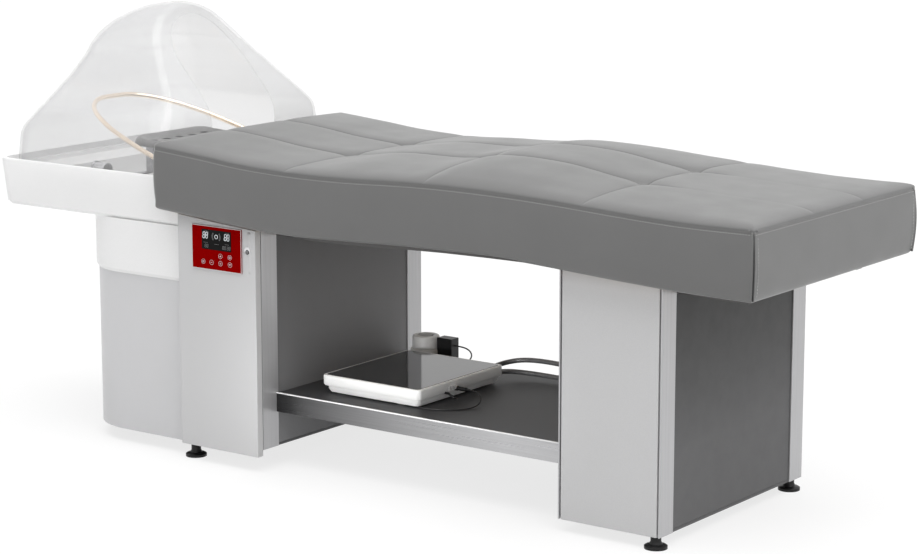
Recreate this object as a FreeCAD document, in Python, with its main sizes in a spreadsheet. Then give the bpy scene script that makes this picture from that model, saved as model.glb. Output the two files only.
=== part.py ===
import FreeCAD, Part
import Sketcher
import math
import os
import re

# Hair washing bed: a quilted mattress on two cabinets with a shelf between them, and a wash basin
# under a clear hood at the head end. Millimetres. X runs from the head to the foot, Y across the
# bed (negative is the door's side), Z up from the floor, with the origin under the middle.

SIZES = {
    # whole bed
    "basin_reach": 566,
    "overrun": 1,
    "seat_gap": 0.3,
    "pin_clearance": 0.05,
    # mattress
    "mattress_width": 700,
    "mattress_length": 1608,
    "mattress_rest": 562,
    "mattress_wave": 35,
    "mattress_thick": 144,
    "mattress_crown": 45,
    "mattress_puff": 13,
    "puff_width": 38,
    "panel_bulge": 7,
    "seam_dip": 7,
    "seam_width": 14,
    "seam_spacing": 234,
    "side_draw": 6,
    "board_thick": 12,
    "board_inset": 22,
    # frame under the mattress
    "rail_size": 25,
    "rail_wall": 2,
    "rail_outer": 245,
    "rail_foot_inset": 70,
    "cross_rail_height": 18,
    # cabinets
    "cabinet_depth": 608,
    "foot_overhang": 238,
    "foot_cabinet_length": 255,
    "head_overhang": 43,
    "head_cabinet_length": 248,
    "foot_cabinet_base": 28,
    "head_cabinet_base": 52,
    "cabinet_top_gap": 5,
    "post_width": 55,
    "post_wall": 3,
    "post_flange": 12,
    "panel_thick": 12,
    "panel_seam": 4,
    "dark_panel_half": 268,
    "plate_thick": 6,
    "top_plate_thick": 3,
    "tongue_length": 335,
    "tongue_half": 150,
    # shelf
    "shelf_height": 180,
    "shelf_half": 256,
    "shelf_thick": 12,
    "shelf_rail_height": 45,
    "shelf_rail_wall": 3,
    "shelf_ledge": 28,
    # door
    "door_thick": 19,
    "door_gap": 1.5,
    "door_bottom": 38,
    "door_side_gap": 12,
    "hinge_radius": 3.5,
    "hinge_pin_radius": 1.5,
    "hinge_length": 36,
    "hinge_low": 110,
    "hinge_high": 430,
    "hinge_leaf": 1.2,
    "lock_radius": 8.2,
    "lock_inset": 22,
    "lock_drop": 38,
    "lock_proud": 2,
    "lock_shaft": 4,
    "cam_length": 16,
    "cam_width": 8,
    "cam_thick": 3,
    # controls
    "control_width": 151,
    "control_height": 103,
    "control_left": 46,
    "control_drop": 95,
    "control_thick": 3,
    "display_width": 89,
    "display_height": 46,
    "display_left": 31,
    "display_bottom": 48,
    "display_proud": 0.4,
    "display_depth": 2.3,
    "key_radius": 6.3,
    "key_proud": 0.5,
    "control_box_width": 128,
    "control_box_depth": 27,
    "control_box_height": 78,
    # feet
    "foot_pad_radius": 25,
    "foot_pad_height": 8,
    "foot_neck_radius": 11.5,
    "foot_stem_radius": 6,
    "foot_stem_length": 24,
    "foot_inset": 20,
    # basin
    "tray_half": 306,
    "tray_bottom": 552,
    "tray_height": 114,
    "tray_corner": 45,
    "tray_taper": 8,
    "tray_edge": 8,
    "tray_floor": 14,
    "rim_wall": 12,
    "rim_height": 16,
    "ledge_width": 14,
    "deck_length": 103,
    "deck_drop": 10,
    "front_wall": 28,
    "mattress_clearance": 7,
    "neck_half": 150,
    "neck_depth": 50,
    "opening_half": 245,
    "opening_length": 245,
    "opening_corner": 60,
    "tub_half": 296,
    "tub_length": 375,
    "tub_height": 132,
    "tub_corner": 165,
    "tub_wall": 6,
    "tub_edge": 4,
    "skirt_half": 290,
    "skirt_length": 369,
    "skirt_corner": 160,
    "skirt_bottom": 33,
    "skirt_wall": 2,
    "right_corner": 12,
    # drain and tank
    "drain_from_cabinet": 182,
    "drain_bore": 16,
    "drain_wall": 4,
    "drain_flange": 30,
    "drain_flange_thick": 3,
    "drain_length": 46,
    "plug_thick": 4,
    "plug_stem_radius": 6,
    "plug_stem_length": 28,
    "tank_rear_gap": 47,
    "tank_half": 140,
    "tank_height": 274,
    "tank_wall": 4,
    "tank_from_cabinet": 62,
    "lid_thick": 4,
    "heater_radius": 6,
    "heater_length": 200,
    "heater_flange": 25,
    "heater_height": 150,
    "pump_radius": 42,
    "pump_length": 110,
    "pump_height": 62,
    "volute_radius": 52,
    "volute_length": 34,
    "pump_foot_thick": 12,
    "pipe_radius": 10,
    "pipe_wall": 2,
    "pipe_bend": 30,
    "supply_height": 500,
    "inlet_radius": 10.5,
    "inlet_bore": 6,
    "inlet_collar": 14,
    "inlet_collar_thick": 4,
    "inlet_tail": 9,
    "inlet_tail_length": 20,
    "inlet_inside": 14,
    "inlet_spacing": 60,
    "inlet_height": 120,
    # hood
    "hood_length": 524,
    "hood_half": 288,
    "hood_height": 396,
    "hood_wall": 4,
    "hood_step": 3,
    "hood_corner": 75,
    "hood_front_corner": 18,
    "hood_setback": 18,
    "mouth_radius": 117,
    "mouth_height": 250,
    # water arch
    "arch_half": 211,
    "arch_length": 430,
    "arch_height": 13,
    "arch_tilt": 18,
    "arch_radius": 6,
    "arch_bore": 4,
    "arch_setback": 22,
    "swivel_radius": 11,
    "swivel_length": 16,
    # head rest
    "rest_length": 254,
    "rest_half": 132,
    "rest_corner": 50,
    "rest_top": 724,
    "rest_thick": 26,
    "rest_dish": 4,
    "rest_edge": 8,
    "rest_rim": 22,
    "rest_rim_slope": 16,
    "rest_rim_drop": 10,
    "rest_hole": 9,
    "rest_hole_spacing": 46,
    "rest_row_spacing": 37,
    "rest_rear_margin": 54,
    "bracket_strip": 24,
    "bracket_wall": 3,
    "bracket_half": 262,
    "bracket_shoulder": 72,
    "bracket_neck": 115,
    "rest_gap": 12,
    # mixer
    "mixer_y": 85,
    "mixer_drop": 18,
    "mixer_radius": 15,
    "mixer_flange": 20,
    "mixer_depth": 42,
    "knob_radius": 17,
    "knob_length": 38,
    # unit on the shelf
    "unit_from_head": 88,
    "unit_near": -197,
    "unit_length": 283,
    "unit_depth": 332,
    "unit_height": 45,
    "unit_upper": 25,
    "unit_step": 8,
    "unit_corner": 12,
    "unit_foot": 4,
    "unit_foot_radius": 9,
    "glass_inset": 7,
    "glass_thick": 4,
    "glass_proud": 0.6,
    "socket_radius": 6,
    "socket_length": 10,
    "socket_from_near": 135,
    "socket_height": 27,
    "barrel_radius": 5,
    "barrel_length": 34,
    "cable_radius": 1.6,
    "lead_radius": 1.8,
    "gland_length": 20,
    "gland_width": 8,
    "gland_height": 3.4,
    "pump_case_radius": 33,
    "pump_case_height": 68,
    "pump_case_from_head": 84,
    "pump_case_y": 212,
    "adapter_from_head": 120,
    "adapter_y": 208,
    "adapter_width": 44,
    "adapter_depth": 30,
    "adapter_height": 66,
    "hose_radius": 6,
    "hose_wall": 1.5,
    "clip_x": 330,
    "clip_width": 12,
    "clip_depth": 26,
    # fasteners
    "screw_radius": 3.5,
    "screw_head": 2,
}

FORMULAS = {
    "total_length": "mattress_length + basin_reach",
    "foot_end": "total_length / 2",
    "head_end": "foot_end - mattress_length",
    "foot_right": "foot_end - foot_overhang",
    "foot_left": "foot_right - foot_cabinet_length",
    "head_left": "head_end + head_overhang",
    "head_right": "head_left + head_cabinet_length",
    "side": "cabinet_depth / 2",
    "dark_bottom_foot": "foot_cabinet_base + plate_thick",
    "dark_bottom_head": "head_cabinet_base + plate_thick",
    "door_back": "side + door_gap",
    "door_front": "door_back + door_thick",
    "door_left": "head_left + door_side_gap",
    "hinge_x": "head_left + door_side_gap - hinge_radius - door_gap / 3",
    "hinge_y": "side + door_gap / 3",
    "control_x": "door_left + control_left",
    "ledge_height": "tray_bottom + tray_height - rim_height",
    "tray_left": "-total_length / 2",
    "drain_x": "head_left - drain_from_cabinet",
    "tank_right": "head_left - tank_from_cabinet",
    "tank_length": "skirt_length - tank_from_cabinet - tank_rear_gap",
    "pump_x": "head_right - pump_length - post_flange - panel_thick - screw_head",
    "lock_height": "mattress_rest - lock_drop",
    "control_bottom": "mattress_rest - control_drop",
    "unit_left": "head_right + unit_from_head",
    "pump_case_x": "head_right + pump_case_from_head",
    "adapter_x": "head_right + adapter_from_head",
    "unit_top": "shelf_height + unit_height",
    "unit_right": "unit_left + unit_length",
    "unit_far": "unit_near + unit_depth",
}

# share of the mattress's length; underside and top seam over the wave; crown
PROFILE_SHARES = (
    (0.000, 1.00, 0.74, 0.62),
    (0.094, 0.69, 0.57, 0.30),
    (0.169, 0.43, 0.20, 0.25),
    (0.260, 0.32, -0.03, 0.35),
    (0.350, 0.44, 0.06, 0.70),
    (0.453, 0.63, 0.29, 0.62),
    (0.520, 0.69, 0.34, 0.95),
    (0.618, 0.73, 0.37, 0.85),
    (0.713, 0.46, 0.31, 0.25),
    (0.805, 0.23, 0.23, 0.20),
    (0.894, 0.07, 0.11, 0.20),
    (1.000, 0.00, 0.00, 0.10),
)
CROSS_SEAM_SHARES = (0.24, 0.485, 0.74)
CROSS_RAIL_SHARES = (0.06, 0.16, 0.36, 0.54, 0.73, 0.83, 0.93)

# share of the hood's height; rear and front set in over its length; half width
HOOD_SHARES = (
    (0.000, 0.000, 0.000, 1.000),
    (0.190, 0.015, 0.000, 0.993),
    (0.248, 0.042, 0.000, 0.990),
    (0.298, 0.082, 0.000, 0.979),
    (0.343, 0.115, 0.004, 0.962),
    (0.379, 0.134, 0.012, 0.925),
    (0.412, 0.143, 0.023, 0.889),
    (0.477, 0.170, 0.061, 0.816),
    (0.518, 0.190, 0.088, 0.780),
    (0.611, 0.225, 0.149, 0.698),
    (0.664, 0.242, 0.187, 0.651),
    (0.747, 0.252, 0.239, 0.583),
    (0.816, 0.275, 0.277, 0.517),
    (0.886, 0.325, 0.309, 0.434),
    (0.934, 0.385, 0.324, 0.347),
    (0.972, 0.455, 0.334, 0.229),
    (0.992, 0.535, 0.350, 0.125),
    (1.000, 0.580, 0.380, 0.042),
)
HOOD_RIB_SHARES = (0.379, 0.518, 0.664)

# share of the water arch's length; half width
ARCH_SHARES = (
    (0.00, 1.00),
    (0.36, 0.955),
    (0.62, 0.855),
    (0.80, 0.70),
    (0.92, 0.52),
    (1.00, 0.26),
)

# touch keys from the control panel's lower left corner, over its width and height
KEY_SHARES = (
    (0.58, 0.34),
    (0.77, 0.34),
    (0.23, 0.175),
    (0.40, 0.175),
    (0.58, 0.175),
    (0.77, 0.175),
)

# the thin cable from its plug to the gland under the unit
CABLE_ROUTE = (
    (185, -62, 207), (201, -63, 206.5), (218, -68, 203), (231, -80, 194), (235, -99, 185.5),
    (229, -124, 181.7), (213, -148, 181.7), (190, -167, 181.7), (162, -178, 181.7), (134, -181, 181.7),
    (107, -178, 181.7), (85, -172, 181.7),
)
# the power lead from the adapter to the back of the unit
LEAD_ROUTE = (
    (-66, 223, 228), (-48, 223, 228), (-27, 220, 226), (-8, 210, 221), (6, 193, 215), (13, 170, 209.5),
    (15, 149, 207), (15, 135, 207),
)
# the two air hoses from the back of the unit to the foot cabinet
HOSE_ROUTES = (
    ((96, 135, 210), (97, 158, 211), (110, 187, 217), (142, 207, 224), (194, 213, 227), (262, 212, 226),
     (330, 210, 223), (398, 210, 222), (466, 208, 220), (532, 205, 218), (597, 205, 218)),
    ((121, 135, 204), (122, 152, 203), (134, 178, 200), (164, 197, 197), (210, 206, 195), (270, 207, 194),
     (330, 207, 194), (398, 206, 193), (466, 203, 192), (532, 200, 192), (597, 200, 192)),
)

V = FreeCAD.Vector
doc = FreeCAD.newDocument("HairWashingBed")
sheet = doc.addObject("Spreadsheet::Sheet", "Sizes")
parts = []


def fill_sheet():
    """Write the driving sizes and what follows from them, each cell with its own alias."""
    row = 0
    for name, value in SIZES.items():
        row += 1
        sheet.set("A%d" % row, name)
        sheet.set("B%d" % row, str(value))
        sheet.setAlias("B%d" % row, name)
    for name, formula in FORMULAS.items():
        row += 1
        sheet.set("A%d" % row, name)
        sheet.set("B%d" % row, "=" + formula)
        sheet.setAlias("B%d" % row, name)
    doc.recompute()
    heights = cabinet_tops()
    for name, value in heights.items():
        row += 1
        sheet.set("A%d" % row, name)
        sheet.set("B%d" % row, repr(value))
        sheet.setAlias("B%d" % row, name)
        KNOWN.add(name)
    doc.recompute()


KNOWN = set(SIZES) | set(FORMULAS)


def size(name):
    return float(sheet.get(name))


def full_name(word):
    """A sheet alias with its sheet in front; any other word as it stands."""
    return ("Sizes." if word.group() in KNOWN else "") + word.group()


def bind(thing, target, text):
    """Bind a property to an expression whose words are the sheet's aliases."""
    thing.setExpression(target, re.sub(r"[a-z][a-z_]*", full_name, text))


def place(thing, x, y, z):
    for axis, text in zip("xyz", (x, y, z)):
        bind(thing, "Placement.Base." + axis, text)


def keep(thing, label):
    """Name a finished sub-part and put it on the list of nodes."""
    thing.Label = label
    parts.append(thing)
    return thing


def box(name, low, extent):
    solid = doc.addObject("Part::Box", name)
    for target, text in zip(("Length", "Width", "Height"), extent):
        bind(solid, target, text)
    place(solid, *low)
    return solid


AXIS_TURNS = {"x": (V(0, 1, 0), 90), "y": (V(1, 0, 0), -90), "z": (V(0, 0, 1), 0)}


def cylinder(name, start, radius, length, axis="z"):
    solid = doc.addObject("Part::Cylinder", name)
    bind(solid, "Radius", radius)
    bind(solid, "Height", length)
    solid.Placement = FreeCAD.Placement(V(0, 0, 0), FreeCAD.Rotation(*AXIS_TURNS[axis]))
    place(solid, *start)
    return solid


def fuse(name, solids):
    result = doc.addObject("Part::MultiFuse", name)
    result.Shapes = solids
    return result


def cut(name, base, tools):
    result = doc.addObject("Part::Cut", name)
    result.Base = base
    result.Tool = tools[0] if len(tools) == 1 else fuse(name + "_tools", tools)
    return result


def group(name, solids):
    result = doc.addObject("Part::Compound", name)
    result.Links = solids
    return result


def far_copy(name, source):
    """The same piece on the bed's far side."""
    result = doc.addObject("Part::Mirroring", name)
    result.Source = source
    result.Normal = V(0, 1, 0)
    return result


def feature(name, shape):
    result = doc.addObject("Part::Feature", name)
    result.Shape = shape
    return result


def sketch_on(body, plane, outline, name):
    """A closed outline of straight lines, each corner held by expressions from the origin."""
    planes = {item.Role: item for item in body.Origin.OriginFeatures}
    sketch = body.newObject("Sketcher::SketchObject", name)
    sketch.AttachmentSupport = (planes[plane], [""])
    sketch.MapMode = "FlatFace"
    corners = [tuple(value_of(text) for text in corner) for corner in outline]
    count = len(corners)
    for index in range(count):
        start = V(*corners[index], 0)
        end = V(*corners[(index + 1) % count], 0)
        sketch.addGeometry(Part.LineSegment(start, end))
    for index in range(count):
        sketch.addConstraint(Sketcher.Constraint("Coincident", index, 2, (index + 1) % count, 1))
    for index in range(count):
        for kind, start, text in zip(("DistanceX", "DistanceY"), corners[index], outline[index]):
            number = sketch.addConstraint(Sketcher.Constraint(kind, -1, 1, index, 1, start))
            bind(sketch, "Constraints[%d]" % number, text)
    return sketch


def value_of(text):
    """The present value of an expression, to lay an outline out before it is bound."""
    words = re.sub(r"[a-z][a-z_]*", lambda word: repr(size(word.group())), text)
    total = FreeCAD.Units.Quantity("(" + words + ")")
    return float(total.Value)


def padded_outline(name, outline, start_y, thickness, plane="XZ_Plane"):
    """A flat piece: an outline in X and Z, given its thickness towards +Y from start_y."""
    body = doc.addObject("PartDesign::Body", name)
    sketch = sketch_on(body, plane, outline, name + "_outline")
    pad = body.newObject("PartDesign::Pad", name + "_pad")
    pad.Profile = sketch
    bind(pad, "Length", thickness)
    place(body, "0", "%s + %s" % (start_y, thickness), "0")
    return body


def long_section(name, outline, start_x, length):
    """A section in Y and Z drawn out along X."""
    body = doc.addObject("PartDesign::Body", name)
    sketch = sketch_on(body, "YZ_Plane", outline, name + "_section")
    pad = body.newObject("PartDesign::Pad", name + "_pad")
    pad.Profile = sketch
    bind(pad, "Length", length)
    place(body, start_x, "0", "0")
    return body


def turned(name, outline, x, y, z):
    """A round piece: an outline in radius and height turned about its own upright axis."""
    body = doc.addObject("PartDesign::Body", name)
    sketch = sketch_on(body, "XZ_Plane", outline, name + "_outline")
    turn = body.newObject("PartDesign::Revolution", name + "_turn")
    turn.Profile = sketch
    turn.ReferenceAxis = (sketch, ["V_Axis"])
    turn.Angle = 360
    place(body, x, y, z)
    return body


def profile(share, column):
    """A smooth curve through one column of the mattress's shares."""
    rows = PROFILE_SHARES
    index = 0
    while index < len(rows) - 2 and share > rows[index + 1][0]:
        index += 1
    before = rows[max(index - 1, 0)]
    low, high = rows[index], rows[index + 1]
    after = rows[min(index + 2, len(rows) - 1)]
    span = high[0] - low[0]
    part = (share - low[0]) / span
    slope_low = (high[column] - before[column]) / (high[0] - before[0]) * span
    slope_high = (after[column] - low[column]) / (after[0] - low[0]) * span
    square, cube = part ** 2, part ** 3
    return ((2 * cube - 3 * square + 1) * low[column] + (cube - 2 * square + part) * slope_low
            + (3 * square - 2 * cube) * high[column] + (cube - square) * slope_high)


def share_at(x):
    return (x - size("head_end")) / size("mattress_length")


def underside(x):
    """Height of the mattress's underside, where the rails and the cabinets meet it."""
    stations = station_shares()
    share = share_at(x)
    for (low, kind_low), (high, kind_high) in zip(stations, stations[1:]):
        if low <= share <= high:
            part = (share - low) / (high - low)
            value = profile(low, 1) * (1 - part) + profile(high, 1) * part
            return size("mattress_rest") + size("mattress_wave") * value
    return size("mattress_rest") + size("mattress_wave") * profile(min(max(share, 0), 1), 1)


def station_shares():
    """Stations along the mattress: its ends, each cross seam with a place beside it, and between."""
    beside = size("seam_width") / size("mattress_length")
    roll = size("puff_width") / size("mattress_length")
    edges = (0,) + CROSS_SEAM_SHARES + (1,)
    stations = [(0.0, "end")]
    for low, high in zip(edges, edges[1:]):
        start = low + (roll if low == 0 else beside)
        stop = high - (roll if high == 1 else beside)
        for step in range(5):
            stations.append((start + (stop - start) * step / 4, "field"))
        stations.append((float(high), "end" if high == 1 else "seam"))
    return stations


def cabinet_tops():
    """Heights that the cabinets' upright pieces reach, just under the mattress or its rails."""
    gap = size("cabinet_top_gap")
    below = size("rail_size") + size("top_plate_thick")
    foot_left, foot_right = size("foot_left"), size("foot_right")
    head_left, head_right = size("head_left"), size("head_right")
    middle_foot = (foot_left + foot_right) / 2
    middle_head = (head_left + head_right) / 2
    return {
        "foot_top_left": underside(foot_left) - gap,
        "foot_top_middle": underside(middle_foot) - gap,
        "foot_top_right": underside(foot_right) - gap,
        "head_top_left": underside(head_left) - gap,
        "head_top_middle": underside(middle_head) - gap,
        "head_top_right": underside(head_right) - gap,
        "foot_dark_left": underside(foot_left + size("post_wall") + size("panel_thick")) - below,
        "foot_dark_right": underside(foot_right - size("post_wall")) - below,
        "head_dark_left": underside(head_left + size("post_wall") + size("panel_thick")) - below,
        "head_dark_right": underside(head_right - size("post_wall")) - below,
    }


def arc(first, middle, last):
    return Part.Arc(first, middle, last).toShape()


def line(first, last):
    return Part.LineSegment(first, last).toShape()


def mattress_section(share, kind, grow=0):
    """One cross section: drawn-in sides, a rolled edge and three crowned rows between two seams."""
    x = size("head_end") + share * size("mattress_length")
    half = size("mattress_width") / 2
    low = size("mattress_rest") + size("mattress_wave") * profile(share, 1)
    seam = size("mattress_rest") + size("mattress_thick") + size("mattress_wave") * profile(share, 2)
    crown = size("mattress_crown") * profile(share, 3)
    puff, bulge, dip = size("mattress_puff"), size("panel_bulge"), 0
    if kind == "end":
        puff, bulge, crown = puff * 0.15, bulge * 0.3, crown * 0.15
    if kind == "seam":
        bulge, dip = bulge * 0.2, size("seam_dip")
    roll, draw, row = size("puff_width"), size("side_draw"), size("seam_spacing") / 2
    edge_top = seam + puff - dip * 0.6
    row_top = seam + crown - dip
    middle_y = (half - roll + row) / 2
    middle_top = (edge_top + row_top) / 2 + bulge
    points = []
    for sign in (-1, 1):
        points.append((
            V(x, sign * (half - draw), low),
            V(x, sign * (half - draw), (low + seam) / 2),
            V(x, sign * half, seam),
            V(x, sign * (half - roll * 0.3), seam + (edge_top - seam) * 0.7),
            V(x, sign * (half - roll), edge_top),
            V(x, sign * middle_y, middle_top),
            V(x, sign * row, row_top),
        ))
    near, far = points
    edges = [
        arc(near[0], near[1], near[2]),
        arc(near[2], near[3], near[4]),
        arc(near[4], near[5], near[6]),
        arc(near[6], V(x, 0, row_top + bulge), far[6]),
        arc(far[6], far[5], far[4]),
        arc(far[4], far[3], far[2]),
        arc(far[2], far[1], far[0]),
        line(far[0], near[0]),
    ]
    return Part.Wire(edges)


def board_section(x, grow_side, grow_top, grow_low):
    half = size("mattress_width") / 2 - size("board_inset") + grow_side
    low = underside(x) - grow_low
    high = underside(x) + size("board_thick") + grow_top
    corners = [V(x, -half, low), V(x, half, low), V(x, half, high), V(x, -half, high)]
    return Part.makePolygon(corners + corners[:1])


def board_solid(grow_side, grow_top, grow_low):
    first = size("head_end") + size("board_inset") - grow_side
    last = size("foot_end") - size("board_inset") + grow_side
    sections = [board_section(x, grow_side, grow_top, grow_low) for x in stations_between(first, last)]
    return Part.makeLoft(sections, True, True)


def stations_between(first, last):
    inner = [size("head_end") + share * size("mattress_length") for share, kind in station_shares()]
    return [first] + [x for x in inner if first + size("overrun") < x < last - size("overrun")] + [last]


def make_mattress():
    body = Part.makeLoft([mattress_section(share, kind) for share, kind in station_shares()], True, True)
    gap = size("seat_gap")
    keep(feature("mattress_shape", body.cut(board_solid(gap, gap, size("overrun")))), "mattress")
    keep(feature("board_shape", board_solid(0, 0, 0)), "mattress_board")


def strip_under(first, last, top_drop, bottom_drop, near_y, far_y):
    """A piece whose upper face follows the mattress's underside between two places along the bed."""
    places = stations_between(first, last)
    upper = [V(x, near_y, underside(x) - top_drop) for x in places]
    lower = [V(x, near_y, underside(x) - bottom_drop) for x in reversed(places)]
    outline = Part.Face(Part.makePolygon(upper + lower + upper[:1]))
    return outline.extrude(V(0, far_y - near_y, 0))


def make_rails():
    first = size("head_left")
    last = size("foot_end") - size("rail_foot_inset")
    outer, depth, wall = size("rail_outer"), size("rail_size"), size("rail_wall")
    rails = []
    for sign in (-1, 1):
        near_y, far_y = sorted((sign * outer, sign * (outer - depth)))
        solid = strip_under(first, last, 0, depth, near_y, far_y)
        hollow = strip_under(first, last, wall, depth - wall, near_y + wall, far_y - wall)
        rails.append(solid.cut(hollow))
    keep(feature("rail_shapes", Part.makeCompound(rails)), "side_rails")
    height = size("cross_rail_height")
    across = []
    for share in CROSS_RAIL_SHARES:
        x = size("head_end") + share * size("mattress_length")
        top = underside(x) - (depth - height) / 2
        corner = V(x - height / 2, depth - outer, top - height)
        outer_box = Part.makeBox(height, 2 * (outer - depth), height, corner)
        inner_box = Part.makeBox(height - 2 * wall, 2 * (outer - depth), height - 2 * wall,
                                 corner + V(wall, 0, wall))
        across.append(outer_box.cut(inner_box))
    keep(feature("cross_rail_shapes", Part.makeCompound(across)), "cross_rails")
    plates = []
    for left, right in (("foot_left", "foot_right"), ("head_left", "head_right")):
        reach = size("side") - size("panel_thick") - size("post_wall")
        start, stop = size(left) + size("post_wall"), size(right) - size("post_wall")
        plates.append(strip_under(start, stop, depth, depth + size("top_plate_thick"), -reach, reach))
    keep(feature("top_plate_shapes", Part.makeCompound(plates)), "cabinet_top_plates")


def post(name, edge, inward, base, top):
    """A corner post: a wide face on the cabinet's end and a narrow flange behind the side panel."""
    if inward > 0:
        face_x, flange_x = edge, edge + " + post_wall"
    else:
        face_x, flange_x = edge + " - post_wall", edge + " - post_wall - post_flange"
    face = box(name + "_face", (face_x, "-side", base), ("post_wall", "post_width", top + " - " + base))
    flange = box(name + "_flange", (flange_x, "panel_thick - side", base),
                 ("post_flange", "post_wall", top + " - " + base))
    return fuse(name, [face, flange])


def make_posts():
    for prefix, base in (("foot", "foot_cabinet_base"), ("head", "head_cabinet_base")):
        left = post(prefix + "_post_left", prefix + "_left", 1, base, prefix + "_top_left")
        right = post(prefix + "_post_right", prefix + "_right", -1, base, prefix + "_top_right")
        far = [far_copy(item.Name + "_far", item) for item in (left, right)]
        keep(group(prefix + "_posts", [left, right] + far), prefix + "_corner_posts")


def side_outline(prefix, base, left, right):
    top = prefix + "_top_"
    middle = "(%s_left + %s_right) / 2" % (prefix, prefix)
    upper = [(right, top + "right"), (middle, top + "middle"), (left, top + "left")]
    return [(left, base), (right, base)] + upper


def make_cabinet_panels():
    inset = "post_wall + panel_seam"
    foot_outline = side_outline("foot", "foot_cabinet_base", "foot_left + " + inset,
                                "foot_right - (%s)" % inset)
    keep(padded_outline("FootNear", foot_outline, "-side", "panel_thick"), "foot_near_panel")
    keep(padded_outline("FootFar", foot_outline, "side - panel_thick", "panel_thick"), "foot_far_panel")
    head_outline = side_outline("head", "head_cabinet_base", "head_left + " + inset,
                                "head_right - (%s)" % inset)
    head_far = padded_outline("HeadFar", head_outline, "side - panel_thick", "panel_thick")
    holes = [cylinder("inlet_hole_%d" % sign, (inlet_x(sign), "side - panel_thick - overrun", "inlet_height"),
                      "inlet_radius", "panel_thick + 2 * overrun", "y") for sign in (0, 1)]
    keep(cut("head_far_drilled", head_far, holes), "head_far_panel")
    dark = (
        ("foot_end_panel", "foot_right - post_wall - panel_thick", "dark_bottom_foot", "foot_dark_right"),
        ("foot_inner_panel", "foot_left + post_wall", "dark_bottom_foot", "foot_dark_left"),
        ("head_inner_panel", "head_right - post_wall - panel_thick", "dark_bottom_head", "head_dark_right"),
    )
    for label, x, base, top in dark:
        keep(box(label + "_slab", (x, "-dark_panel_half", base),
                 ("panel_thick", "2 * dark_panel_half", "%s - %s" % (top, base))), label)
    rear = box("head_rear_slab", ("head_left + post_wall", "-dark_panel_half", "dark_bottom_head"),
               ("panel_thick", "2 * dark_panel_half", "head_dark_left - dark_bottom_head"))
    passes = []
    for number, z in enumerate(("dark_bottom_head + pump_height", "supply_height")):
        passes.append(cylinder("rear_pass_%d" % number, ("head_left", "0", z), "pipe_radius + seat_gap",
                               "post_wall + panel_thick + overrun", "x"))
    keep(cut("head_rear_drilled", rear, passes), "head_rear_panel")


def inlet_x(number):
    return "head_right - post_flange - inlet_spacing - %d * inlet_spacing" % number


def foot_places(prefix):
    if prefix == "foot":
        return "foot_right - foot_inset"
    return "head_left + foot_inset"


def make_base_plates():
    reach = "side - panel_thick - post_wall"
    for prefix, base in (("foot", "foot_cabinet_base"), ("head", "head_cabinet_base")):
        length = "%s_right - %s_left - 2 * post_wall" % (prefix, prefix)
        plate = box(prefix + "_plate", (prefix + "_left + post_wall", "-(%s)" % reach, base),
                    (length, "2 * (%s)" % reach, "plate_thick"))
        pieces = plate
        if prefix == "head":
            tongue = box("head_tongue", ("head_left + post_wall - tongue_length", "-tongue_half", base),
                         ("tongue_length", "2 * tongue_half", "plate_thick"))
            pieces = fuse("head_plate_joined", [plate, tongue])
        bores = []
        for number, y in enumerate(("foot_inset - side", "side - foot_inset")):
            low = (foot_places(prefix), y, base + " - overrun")
            bores.append(cylinder("%s_bore_%d" % (prefix, number), low, "foot_stem_radius + pin_clearance",
                                  "plate_thick + 2 * overrun"))
        keep(cut(prefix + "_plate_drilled", pieces, bores), prefix + "_base_plate")


def make_feet():
    """Levelling feet: a broad pad, a neck that stops under the base plate and a threaded stem."""
    for prefix, base in (("foot", "foot_cabinet_base"), ("head", "head_cabinet_base")):
        neck_top = base + " - seat_gap"
        outline = [
            ("0", "0"),
            ("foot_pad_radius", "0"),
            ("foot_pad_radius", "foot_pad_height * 3 / 4"),
            ("foot_pad_radius * 7 / 8", "foot_pad_height"),
            ("foot_neck_radius * 5 / 4", "foot_pad_height * 5 / 4"),
            ("foot_neck_radius", "foot_pad_height * 2"),
            ("foot_neck_radius", neck_top),
            ("foot_stem_radius", neck_top),
            ("foot_stem_radius", base + " + foot_stem_length"),
            ("0", base + " + foot_stem_length"),
        ]
        for side_name, y in (("near", "foot_inset - side"), ("far", "side - foot_inset")):
            name = "levelling_foot_%s_%s" % (prefix, side_name)
            keep(turned(name + "_body", outline, foot_places(prefix), y, "0"), name)


def make_shelf():
    length = "foot_left - head_right"
    keep(box("shelf_slab", ("head_right", "shelf_rail_wall - shelf_half", "shelf_height - shelf_thick"),
             (length, "2 * (shelf_half - shelf_rail_wall)", "shelf_thick")), "shelf_panel")
    ledge_top = "shelf_height - shelf_thick"
    outline = [
        ("-shelf_half", "shelf_height - shelf_rail_height"),
        ("shelf_rail_wall - shelf_half", "shelf_height - shelf_rail_height"),
        ("shelf_rail_wall - shelf_half", ledge_top + " - shelf_rail_wall"),
        ("shelf_ledge - shelf_half", ledge_top + " - shelf_rail_wall"),
        ("shelf_ledge - shelf_half", ledge_top),
        ("shelf_rail_wall - shelf_half", ledge_top),
        ("shelf_rail_wall - shelf_half", "shelf_height"),
        ("-shelf_half", "shelf_height"),
    ]
    near = long_section("ShelfRail", outline, "head_right", length)
    keep(group("shelf_rail_pair", [near, far_copy("shelf_rail_far", near)]), "shelf_rails")


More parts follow.
